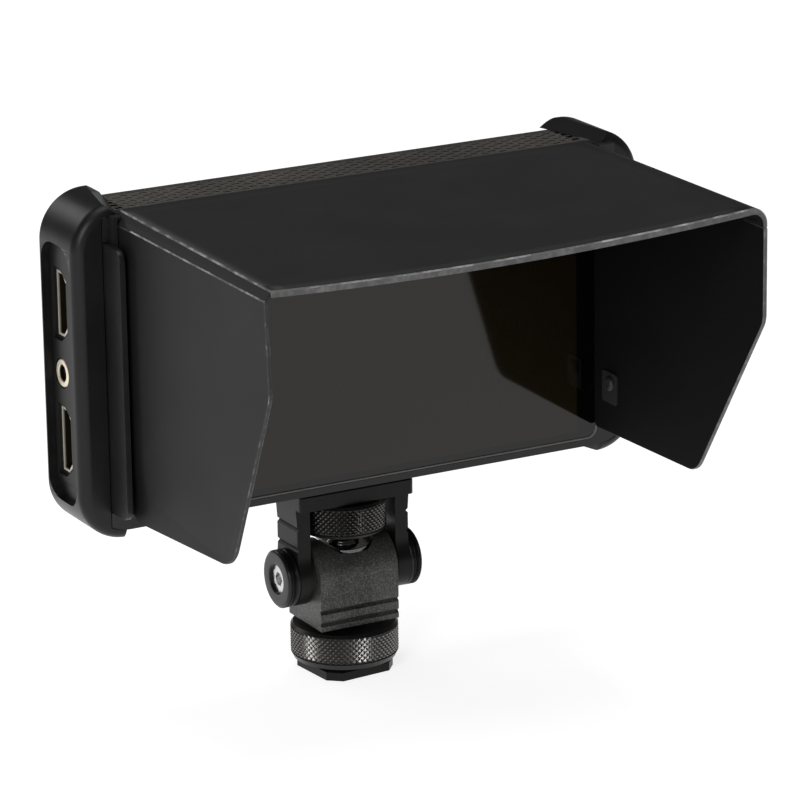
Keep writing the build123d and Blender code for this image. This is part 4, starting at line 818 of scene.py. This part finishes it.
# %% Side boards
HINGE_R = 0.3 * MM
KNEE_R = 6 * MM
ARRIS = 0.22 * MM
CORNER_STEPS = 12
LEAN_PACE = 1.5  # the lean is full from two thirds of the length forward


def fold_frame(side, drop):
    """Where a side board hangs: origin, forward, up and inward directions."""
    origin = Vector((HOOD_X + side * (HOOD_HALF - SIDE_BOARD / 2), HOOD_BACK,
                     HOOD_TOP - drop - SHUT_GAP - SIDE_BOARD / 2))
    forward = Vector((0, -HOOD_LENGTH, -HOOD_FALL)).normalized()
    upward = Vector((0, -HOOD_FALL, HOOD_LENGTH)).normalized()
    inward = Vector((-side, 0, 0))
    return origin, forward, upward, inward


def make_side_board(name, side, drop, height, knee, tuck, slant, front_r, back_r, lean_in,
                    rim, arris):
    """One side board; lean_in swings its lower front a little inwards."""
    origin, forward, upward, inward = fold_frame(side, drop)
    low = height - SIDE_BOARD / 2
    front_low = low - tuck
    fall = HOOD_FALL / HOOD_LENGTH
    corners = [
        (0, SIDE_BOARD / 2),
        (HOOD_LENGTH, SIDE_BOARD / 2),
        (HOOD_LENGTH + knee * fall, -knee),
        (HOOD_LENGTH - slant + front_low * fall, -front_low),
        (low * fall, -low),
    ]
    outline = rounded_outline(corners, (HINGE_R, HINGE_R, KNEE_R, front_r, back_r),
                              CORNER_STEPS)
    count = len(outline)
    # four rings across the thickness: flat face, arris, arris, flat face
    rings = ((-SIDE_BOARD / 2, ARRIS), (-SIDE_BOARD / 2 + ARRIS, 0),
             (SIDE_BOARD / 2 - ARRIS, 0), (SIDE_BOARD / 2, ARRIS))
    middle_u = HOOD_LENGTH / 2
    middle_v = -low / 2
    verts = []
    for offset, pull in rings:
        for u, v in outline:
            toward = Vector((middle_u - u, middle_v - v)).normalized() * pull
            swing = lean_in * max(0.0, -v) * min(1.0, u / HOOD_LENGTH * LEAN_PACE)
            verts.append(origin + forward * (u + toward.x) + upward * (v + toward.y)
                         + inward * (offset + swing))
    faces = [tuple(range(count)), tuple(range(3 * count, 4 * count))]
    faces += ring_faces(len(rings), count)
    paint = [0, 3] + [2] * count + [1] * count + [2] * count
    return finish_mesh(name, verts, faces, [side_black, rim, arris, lining_black], paint)


hood_left = make_side_board(
    "hood_left", side=-1, drop=SPINE_DROP, height=67.8 * MM, knee=20.8 * MM,
    tuck=2.4 * MM, slant=22.2 * MM, front_r=9 * MM, back_r=9 * MM, lean_in=0.03,
    rim=darker_cut_edge, arris=scuffed_arris)
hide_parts("hood_left_panel")
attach(hood_left, "hood_left")

hood_right = make_side_board(
    "hood_right", side=1, drop=BEND_R, height=65.1 * MM, knee=20.8 * MM,
    tuck=1.2 * MM, slant=27.5 * MM, front_r=6.5 * MM, back_r=1.5 * MM, lean_in=0.0,
    rim=cut_edge, arris=cut_edge)
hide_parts("hood_right_panel")
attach(hood_right, "hood_right")
print("side boards:", len(hood_left.data.polygons), len(hood_right.data.polygons))

# %% [markdown]
# ## Repeated shapes from one cell
# The vent mesh and both knurls are the same small shape many times over, so
# each is one cell of mesh code and a node tree that lays copies of it on a
# lattice whose rows are shifted by half a step. Pitch and counts are inputs of
# the tree, so one number changes the whole pattern. An array modifier can't
# shift every second row or wrap a lattice round a wheel.

# %% Lattice node tree
LATTICE_INPUTS = (
    ("Geometry", "NodeSocketGeometry", None),
    ("Columns", "NodeSocketInt", 10),
    ("Rows", "NodeSocketInt", 5),
    ("Column Pitch", "NodeSocketFloat", 0.001),
    ("Row Pitch", "NodeSocketFloat", 0.001),
    ("Radius", "NodeSocketFloat", 0.01),
    ("Round", "NodeSocketFloat", 0.0),
    ("Middle", "NodeSocketVector", (0, 0, 0)),
    ("Material", "NodeSocketMaterial", None),
)


def tree_input(tree, label, kind, value):
    """A named input of a tree, and the identifier that a modifier sets it by."""
    socket = tree.interface.new_socket(label, in_out="INPUT", socket_type=kind)
    if value is not None:
        socket.default_value = value
    return socket.identifier


def lattice_tree():
    """Copies of the input mesh on a shifted lattice, flat or round a Z axis."""
    tree = bpy.data.node_groups.new("shifted_lattice", "GeometryNodeTree")
    tree.is_modifier = True
    sockets = {label: tree_input(tree, label, kind, value)
               for label, kind, value in LATTICE_INPUTS}
    tree.interface.new_socket("Geometry", in_out="OUTPUT", socket_type="NodeSocketGeometry")
    given = add_node(tree, "NodeGroupInput").outputs
    leave = add_node(tree, "NodeGroupOutput")

    def worked(operation, *operands):
        """The result of one sum in this tree."""
        return math_node(tree, operation, *operands)

    # row and column of each point, every second row shifted by half a step
    index = add_node(tree, "GeometryNodeInputIndex").outputs[0]
    row = worked("FLOOR", worked("DIVIDE", worked("ADD", index, 0.5), given["Columns"]))
    column = worked("SUBTRACT", index, worked("MULTIPLY", row, given["Columns"]))
    shift = worked("MULTIPLY", worked("MODULO", row, 2.0), 0.5)
    # distances along and across, counted from the middle of the lattice
    half_columns = worked("MULTIPLY", worked("SUBTRACT", given["Columns"], 0.5), 0.5)
    half_rows = worked("MULTIPLY", worked("SUBTRACT", given["Rows"], 1.0), 0.5)
    along = worked("MULTIPLY", worked("SUBTRACT", worked("ADD", column, shift), half_columns),
                   given["Column Pitch"])
    across = worked("MULTIPLY", worked("SUBTRACT", row, half_rows), given["Row Pitch"])
    # the same places laid flat, and wrapped round the axis
    turn = worked("MULTIPLY", worked("DIVIDE", along, given["Radius"]), given["Round"])
    flat = add_node(tree, "ShaderNodeCombineXYZ", [("X", along), ("Y", across)])
    bent = add_node(tree, "ShaderNodeCombineXYZ", [
        ("X", worked("MULTIPLY", worked("SINE", turn), given["Radius"])),
        ("Y", worked("MULTIPLY", worked("COSINE", turn),
                     worked("MULTIPLY", given["Radius"], -1.0))),
        ("Z", across)])
    # the Mix node keeps its factor and vectors in sockets 0, 4 and 5, its result in 1
    choose = add_node(tree, "ShaderNodeMix",
                      [(0, given["Round"]), (4, flat.outputs[0]), (5, bent.outputs[0])],
                      data_type="VECTOR")
    place = add_node(tree, "ShaderNodeVectorMath",
                     [(0, choose.outputs[1]), (1, given["Middle"])])
    points = add_node(tree, "GeometryNodePoints",
                      [("Count", worked("MULTIPLY", given["Columns"], given["Rows"])),
                       ("Position", place.outputs[0])])
    heading = add_node(tree, "ShaderNodeCombineXYZ", [("Z", turn)])
    copies = add_node(tree, "GeometryNodeInstanceOnPoints",
                      [("Points", points.outputs[0]), ("Instance", given["Geometry"]),
                       ("Rotation", heading.outputs[0])])
    real = add_node(tree, "GeometryNodeRealizeInstances", [(0, copies.outputs[0])])
    paint = add_node(tree, "GeometryNodeSetMaterial",
                     [("Geometry", real.outputs[0]), ("Material", given["Material"])])
    tree.links.new(paint.outputs[0], leave.inputs[0])
    return tree, sockets


LATTICE, LATTICE_SOCKETS = lattice_tree()
print("lattice inputs:", sorted(LATTICE_SOCKETS))


# %% Cells, copies and one joined mesh
def cell_object(name, verts, faces):
    """A cell for the lattice, its faces wound just as they are given."""
    mesh = bpy.data.meshes.new(name)
    mesh.from_pydata(verts, [], faces)
    return add_object(name, mesh)


def lay_out(cell, **inputs):
    """Run the lattice on a cell object and keep the result as a plain mesh."""
    layer = cell.modifiers.new("lattice", "NODES")
    layer.node_group = LATTICE
    for label, value in inputs.items():
        layer[LATTICE_SOCKETS[label.replace("_", " ")]] = value
    bpy.context.view_layer.update()
    depsgraph = bpy.context.evaluated_depsgraph_get()
    mesh = bpy.data.meshes.new_from_object(cell.evaluated_get(depsgraph))
    cell.modifiers.remove(layer)
    old = cell.data
    cell.data = mesh
    bpy.data.meshes.remove(old)
    return cell


def join(name, pieces):
    """One mesh from several objects, each keeping its own material."""
    whole = bmesh.new()
    materials = []
    for piece in pieces:
        part = piece.data.copy()
        for polygon in part.polygons:
            material = piece.data.materials[polygon.material_index]
            if material not in materials:
                materials.append(material)
            polygon.material_index = materials.index(material)
        whole.from_mesh(part)
        bpy.data.meshes.remove(part)
        bpy.data.objects.remove(piece)
    mesh = bpy.data.meshes.new(name)
    whole.to_mesh(mesh)
    whole.free()
    for material in materials:
        mesh.materials.append(material)
    return add_object(name, mesh)


# %% [markdown]
# ## Vent mesh
# The top of the body is a punched sheet: short slots in shifted rows with
# their near lips raised a little. The cell is one slot with real walls, so
# its lip catches light. Its walls below the lip and a sheet under the vent
# are painted near black: painted shade in the slots' depth, which stays dark
# from every side. A bump map would look right from above only, and vanish at
# the low camera angle.

# %% Vent cell
SLOT_PITCH = 4.75 * MM
ROW_PITCH = 1.3 * MM
SLOT_COLUMNS = 25
SLOT_ROWS = 10
SLOT_MM = ((-1.15, 0.0), (-0.8, 0.5), (0.8, 0.5), (1.15, 0.0), (0.8, -0.46), (-0.8, -0.46))
SLOT_MOUTH = 1.12          # size of a slot's mouth, as a share of its walls
NEAR_LIP = 0.1 * MM        # rise of its near lip
LIP_EDGE = 0.03 * MM       # height of the bright edge inside the mouth
SHEET = 0.7 * MM
SHEET_SINK = 0.25 * MM     # the sheet lies this far under its border
UPRIGHT = 0.3              # a face that leans less than this is a slot's wall
WALL_START = 0.15 * MM     # and it is painted near black, as painted shade, from this far down


def make_vent_cell():
    """A sheet cell with one six-sided slot through it, its near lip raised."""
    half_x, half_y = SLOT_PITCH / 2, ROW_PITCH / 2
    rim = [(-half_x, 0.0), (-half_x, half_y), (half_x, half_y), (half_x, 0.0),
           (half_x, -half_y), (-half_x, -half_y)]
    slot = [(x * MM, y * MM) for x, y in SLOT_MM]
    lip = [0.0, 0.0, 0.0, 0.0, NEAR_LIP, NEAR_LIP]
    rings = [
        [(x, y, 0.0) for x, y in rim],
        [(x * SLOT_MOUTH, y * SLOT_MOUTH, height) for (x, y), height in zip(slot, lip)],
        [(x, y, height - LIP_EDGE) for (x, y), height in zip(slot, lip)],
        [(x, y, -SHEET) for x, y in slot],
    ]
    verts = [point for ring in rings for point in ring]
    return cell_object("vent_cell", verts, turned_over(ring_faces(len(rings), len(rim))))


grille_low, grille_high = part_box("top_grille")
grille_mid = Vector(((grille_low[0] + grille_high[0]) / 2,
                     (grille_low[1] + grille_high[1]) / 2, grille_high[2] - SHEET_SINK))
vent = lay_out(make_vent_cell(), Columns=SLOT_COLUMNS, Rows=SLOT_ROWS,
               Column_Pitch=SLOT_PITCH, Row_Pitch=ROW_PITCH, Round=0.0, Radius=1.0,
               Middle=grille_mid, Material=grille_metal)
# the slots' walls from WALL_START down, and the sheet under the vent, get a near-black
# finish: painted shade in the slots
slot_painted_shade = grained("slot_painted_shade", grey(0.002), grey(0.004), 3000, 0.9, 0.0,
                     Specular_IOR_Level=0.0)
vent.data.materials.append(slot_painted_shade)
for polygon in vent.data.polygons:
    if (abs(polygon.normal.z) < UPRIGHT
            and polygon.center.z < grille_mid.z - WALL_START):
        polygon.material_index = len(vent.data.materials) - 1
print("vent cells:", SLOT_COLUMNS * SLOT_ROWS, "faces:", len(vent.data.polygons))

# %% Vent border and shade sheet
FIELD_HALF_X = 60.3 * MM
FIELD_HALF_Y = ROW_PITCH * SLOT_ROWS / 2 - 0.1 * MM
BORDER_SLOPE = 0.35 * MM   # drop of the border's inner edges
SLOPE_SHARE_X = 0.002      # and how far they come in, as a share of the field
SLOPE_SHARE_Y = 0.03
SHADE_SHEET_RISE = 0.02 * MM
SHADE_SHEET_INSET = 0.3 * MM


def rectangle(low, high, z):
    """Four points at one height, round the upright box between two corners."""
    return [(low[0], low[1], z), (high[0], low[1], z), (high[0], high[1], z),
            (low[0], high[1], z)]


def make_border(low, high):
    """A flat frame round the field, with sloped inner edges."""
    mid_x, mid_y = (low[0] + high[0]) / 2, (low[1] + high[1]) / 2
    inner = rectangle((mid_x - FIELD_HALF_X, mid_y - FIELD_HALF_Y),
                      (mid_x + FIELD_HALF_X, mid_y + FIELD_HALF_Y), high[2])
    sloped = [(x + (mid_x - x) * SLOPE_SHARE_X, y + (mid_y - y) * SLOPE_SHARE_Y,
               z - BORDER_SLOPE) for x, y, z in inner]
    rings = [rectangle(low, high, low[2]), rectangle(low, high, high[2]), inner, sloped]
    verts = [point for ring in rings for point in ring]
    return finish_mesh("vent_border", verts, ring_faces(4, 4), [grille_metal])


def make_vent_shade_sheet(low, high):
    """A near-black sheet under the slots: painted shade seen down through them."""
    verts = rectangle([v + SHADE_SHEET_INSET for v in low],
                      [v - SHADE_SHEET_INSET for v in high], low[2] + SHADE_SHEET_RISE)
    return finish_mesh("vent_shade_sheet", verts, [(0, 1, 2, 3)], [slot_painted_shade])


border = make_border(grille_low, grille_high)
vent_shade_sheet = make_vent_shade_sheet(grille_low, grille_high)
vent_mesh = join("vent_mesh", [vent, border, vent_shade_sheet])
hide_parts("top_grille")
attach(vent_mesh, "monitor")
print("vent_mesh faces:", len(vent_mesh.data.polygons))

# %% [markdown]
# ## Knurled wheel and lock ring
# Both are turned parts with a diamond knurl pressed into the rim. The pattern
# is a lattice of four-sided points: seen edge on they make the crossing lines,
# seen straight they flash one facet each. Straight ribs or a bump map would
# lose both the sparkle and the toothed outline.

# %% Knurl point
KNURL_PITCH = 1.3 * MM
KNURL_DEPTH = 0.38 * MM
RIM_STEP = 0.1 * MM        # the plain rims stop this far inside the points' tips
BAND_SLOPE = 0.12 * MM     # height of the slopes at the band's two ends


def make_point(width, height, depth):
    """One four-sided knurl point, its base in the XZ plane, its tip at -Y."""
    tip = (0, -depth, 0)
    base = [(-width / 2, 0, 0), (0, 0, -height), (width / 2, 0, 0), (0, 0, height)]
    return cell_object("knurl_point", [tip] + base,
                       [(0, 1, 2), (0, 2, 3), (0, 3, 4), (0, 4, 1)])


def turned(name, profile, material, around=96, smooth=False):
    """A part of revolution round Z from (radius, height) points, axis to axis."""
    verts = []
    for angle in full_turn(around):
        for radius, height in profile:
            verts.append((radius * cos(angle), radius * sin(angle), height))
    faces = turned_over(ring_faces(around, len(profile), closed=True))
    return finish_mesh(name, verts, faces, [material], smooth=smooth)


def make_knurled(name, radius, low, high, band_low, band_high, bore, chamfer, rubbed_and_painted_light):
    """A ring with a knurled band between two heights and chamfered rims."""
    core = radius - KNURL_DEPTH
    profile = [(bore, low), (radius - chamfer, low), (radius - RIM_STEP, band_low),
               (core, band_low + BAND_SLOPE), (core, band_high - BAND_SLOPE),
               (radius - RIM_STEP, band_high), (radius - chamfer, high), (bore, high)]
    body = turned(name + "_core", profile, anodised)
    columns = round(2 * pi * core / KNURL_PITCH)
    pitch = 2 * pi * core / columns
    rows = round((band_high - band_low) / (KNURL_PITCH / 2)) - 1
    step = (band_high - band_low) / (rows + 1)
    points = lay_out(make_point(pitch, step, KNURL_DEPTH), Columns=columns, Rows=rows,
                     Column_Pitch=pitch, Row_Pitch=step, Round=1.0, Radius=core,
                     Middle=(0, 0, (band_low + band_high) / 2), Material=rubbed_and_painted_light)
    whole = join(name, [body, points])
    print(name, "columns", columns, "rows", rows, "faces", len(whole.data.polygons))
    return whole


# The lock ring's points get a paler copy of the knurl metal and the wheel's points a darker
# one: painted light on the ring, painted shade on the wheel.
knurl_painted_lit = grained("knurl_painted_lit", grey(0.13, 0.04), grey(0.32, 0.04), 4000, 0.26, 0.05,
                       Metallic=1.0)
knurl_shaded = grained("knurl_shaded", grey(0.07, 0.04), grey(0.2, 0.04), 4000, 0.24, 0.05,
                       Metallic=1.0)
lock_low, lock_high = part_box("lock_ring")
lock = make_knurled(
    "lock_ring_knurled", radius=lock_high[0], low=lock_low[2], high=lock_high[2],
    band_low=4.4 * MM, band_high=10.9 * MM, bore=5.2 * MM, chamfer=0.7 * MM,
    rubbed_and_painted_light=knurl_painted_lit)
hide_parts("lock_ring")
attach(lock, "lock_ring")

wheel_low, wheel_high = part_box("thumb_wheel")
wheel = make_knurled(
    "thumb_wheel_knurled", radius=wheel_high[0], low=wheel_low[2], high=wheel_high[2],
    band_low=35.2 * MM, band_high=41.5 * MM, bore=3.3 * MM, chamfer=0.6 * MM,
    rubbed_and_painted_light=knurl_shaded)
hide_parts("thumb_wheel")
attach(wheel, "thumb_wheel")

# %% [markdown]
# ## Turned and milled mount parts
# The yoke, the tilt block, the caps and the foot are milled from bar, then
# blasted and anodised. Their measured shape is kept, and a small bevel puts
# the thin light line on every arris that such parts show. A painted line
# would stay put when the light moves; a bevel doesn't.

# %% Blasted finish and arrises
blasted = grained("blasted_black", grey(0.016, 0.03), grey(0.19, 0.03), 2600, 0.4, 0.6,
                  Metallic=0.3)
turned_black = grained("turned_black", grey(0.004, 0.05), grey(0.016, 0.05), 3500, 0.34, 0.1,
                       Specular_IOR_Level=0.15)
cap_metal = grained("cap_metal", grey(0.01), grey(0.03), 7000, 0.26, 0.06, Metallic=0.4,
                    Specular_IOR_Level=0.33)
black_chrome = grained("black_chrome", grey(0.10), grey(0.2), 3000, 0.16, 0.04, Metallic=1.0)
dress_all((
    (blasted, ("tilt_block",)),
    (turned_black, ("yoke", "shoe_foot")),
    (cap_metal, ("left_pivot_cap", "right_pivot_cap")),
    (black_chrome, ("tab_washer", "screw_washer", "clamp_washer")),
))

ARRIS_WIDTHS_MM = (
    (0.12, ("tab_washer", "clamp_washer")),
    (0.15, ("pivot_screws",)),
    (0.2, ("left_hood_clip", "right_hood_clip")),
    (0.22, ("tilt_block",)),
    (0.25, ("left_bumper", "right_bumper")),
    (0.28, ("yoke",)),
    (0.3, ("left_rail", "right_rail")),
    (0.35, ("shoe_foot",)),
    (0.45, ("left_pivot_cap", "right_pivot_cap")),
)
for width, node_names in ARRIS_WIDTHS_MM:
    for node_name in node_names:
        round_edges(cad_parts[node_name], width * MM)
print("arrises rounded on", sum(1 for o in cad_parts.values() if o.modifiers), "parts")

# %% [markdown]
# ## Sockets
# Each video socket is a plated shell round a dark tongue, deep in its window.
# Only the mouth of the shell is bright; the inside falls away to brown-black
# because little light gets in. A mask along X, the way into the socket, sets
# that fall, so one material serves the mouth and the depth.

# %% Group: mouth to depth
mouth_group, entry, leave = new_group(
    "mouth_to_depth",
    [("Mouth", "NodeSocketColor", (0.8, 0.75, 0.65, 1)),
     ("Depth Color", "NodeSocketColor", (0.03, 0.02, 0.012, 1)),
     ("Mouth X", "NodeSocketFloat", 0.07),
     ("Fall", "NodeSocketFloat", 0.001)],
    [("Color", "NodeSocketColor")])
place = add_node(mouth_group, "ShaderNodeTexCoord")
split = add_node(mouth_group, "ShaderNodeSeparateXYZ", [("Vector", place.outputs["Object"])])
from_middle = math_node(mouth_group, "ABSOLUTE", split.outputs["X"])
depth = math_node(mouth_group, "SUBTRACT", entry.outputs["Mouth X"], from_middle)
share = add_node(mouth_group, "ShaderNodeMath", [(0, depth), (1, entry.outputs["Fall"])],
                 operation="DIVIDE", use_clamp=True)
tone = mix_colors(mouth_group, share.outputs[0], entry.outputs["Mouth"],
                  entry.outputs["Depth Color"])
mouth_group.links.new(tone, leave.inputs["Color"])
print("group:", mouth_group.name, "inputs:", len(entry.outputs) - 1)


# %% Socket metals
def mouth_metal(name, mouth, deep, node_name, fall):
    """A metal that is bright at a socket's mouth and dark inside it."""
    low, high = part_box(node_name)
    return group_material(
        name, mouth_group,
        {"Mouth": (*mouth, 1), "Depth Color": (*deep, 1),
         "Mouth X": max(abs(low[0]), abs(high[0])), "Fall": fall},
        {"Color": "Base Color"}, {"Roughness": 0.35, "Metallic": 0.6})


socket_metal = mouth_metal("socket_shell_metal", (0.9, 0.83, 0.7), (0.02, 0.015, 0.007),
                           "hdmi_input_socket", 0.5 * MM)
jack_metal = mouth_metal("jack_ring_metal", (0.98, 0.87, 0.68), (0.012, 0.008, 0.004),
                         "jack_collar", 0.3 * MM)
dress_all((
    (socket_metal, ("hdmi_input_socket", "hdmi_output_socket")),
    (jack_metal, ("jack_collar",)),
))
print("dressed:", len(dressed), "left to new shapes:", sorted(set(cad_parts) - dressed))

# %% [markdown]
# ## Screen rim and domed screw
# A thin bright line runs along the foot of the glass, where the frame's rounded
# rim turns to the light, with a dark strip under it. It is swept as a small
# round bead, since a bevel on the whole frame would round its corners too.
# The bead is a paler grey than the frame's black: a painted highlight on top
# of the light that its round shape catches.
# The screw under the wheel has a domed collar, turned from a short profile.

# %% Screen rim
RIM_R = 0.32 * MM
RIM_DEPTH = -0.6           # towards the front, as a share of its width
RIM_PROUD = 0.02 * MM
RIM_TURN = 2.5 * MM        # radius of its two corners
RIM_END = 3 * MM           # how far up the sides it reaches
# paler than the frame's black: a painted highlight on the rim
rim_painted_highlight = grained("rim_painted_highlight", grey(0.05, 0.05), grey(0.12, 0.05), 3000, 0.3, 0.05)


def rim_line(low, high, steps=6):
    """Points down the left side of the glass, along its foot and up the right."""
    front = low[1] - RIM_PROUD
    left, right_end, foot = low[0] + RIM_R, high[0] - RIM_R, low[2] + RIM_R
    half = [(0, RIM_END)] + [(RIM_TURN * (1 - cos(angle)), RIM_TURN * (1 - sin(angle)))
                             for angle in quarter(steps)]
    places = [(left + along, rise) for along, rise in half]
    places += [(right_end - along, rise) for along, rise in reversed(half)]
    return [Vector((x, front, foot + rise)) for x, rise in places]


line = rim_line(*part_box("cover_glass"))
screen_rim = swept("screen_rim", line, [RIM_R] * len(line), Vector((0, 1, 0)), rim_painted_highlight,
                   depth=RIM_DEPTH, around=6)
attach(screen_rim, "monitor")
print("screen rim faces:", len(screen_rim.data.polygons))

# %% Domed screw head
SHANK_R = 2.0 * MM
COLLAR_FOOT_R = 3.7 * MM
COLLAR_R = 3.8 * MM
COLLAR_RISE = 0.3 * MM
CROWN_R = 2.4 * MM         # the dome rounds off outside this radius
DOME_R = 1.0 * MM
DOME_RISE = 0.9 * MM
HEX_RIM_R = 1.7 * MM
HEX_RIM_DROP = 0.1 * MM
HEX_R = 1.5 * MM
HEX_DEPTH = 1.2 * MM


def make_domed_screw(dome_steps=6):
    """Stepped collar and domed head of the screw that holds the block."""
    low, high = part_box("stem_screw")
    foot, top = low[2], high[2]
    washer_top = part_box("tab_washer")[1][2]
    profile = [(0.0, foot), (SHANK_R, foot), (SHANK_R, washer_top),
               (COLLAR_FOOT_R, washer_top), (COLLAR_R, washer_top + COLLAR_RISE)]
    for angle in quarter(dome_steps):
        profile.append((CROWN_R + DOME_R * cos(angle),
                        top - DOME_RISE + DOME_RISE * sin(angle)))
    profile += [(HEX_RIM_R, top - HEX_RIM_DROP), (HEX_R, top - HEX_DEPTH),
                (0.0, top - HEX_DEPTH)]
    return turned("domed_screw", profile, black_chrome, around=48, smooth=True)


domed_screw = make_domed_screw()
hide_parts("stem_screw")
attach(domed_screw, "base")
print("domed screw top at", round(max(v.co.z for v in domed_screw.data.vertices) * 1000, 2))
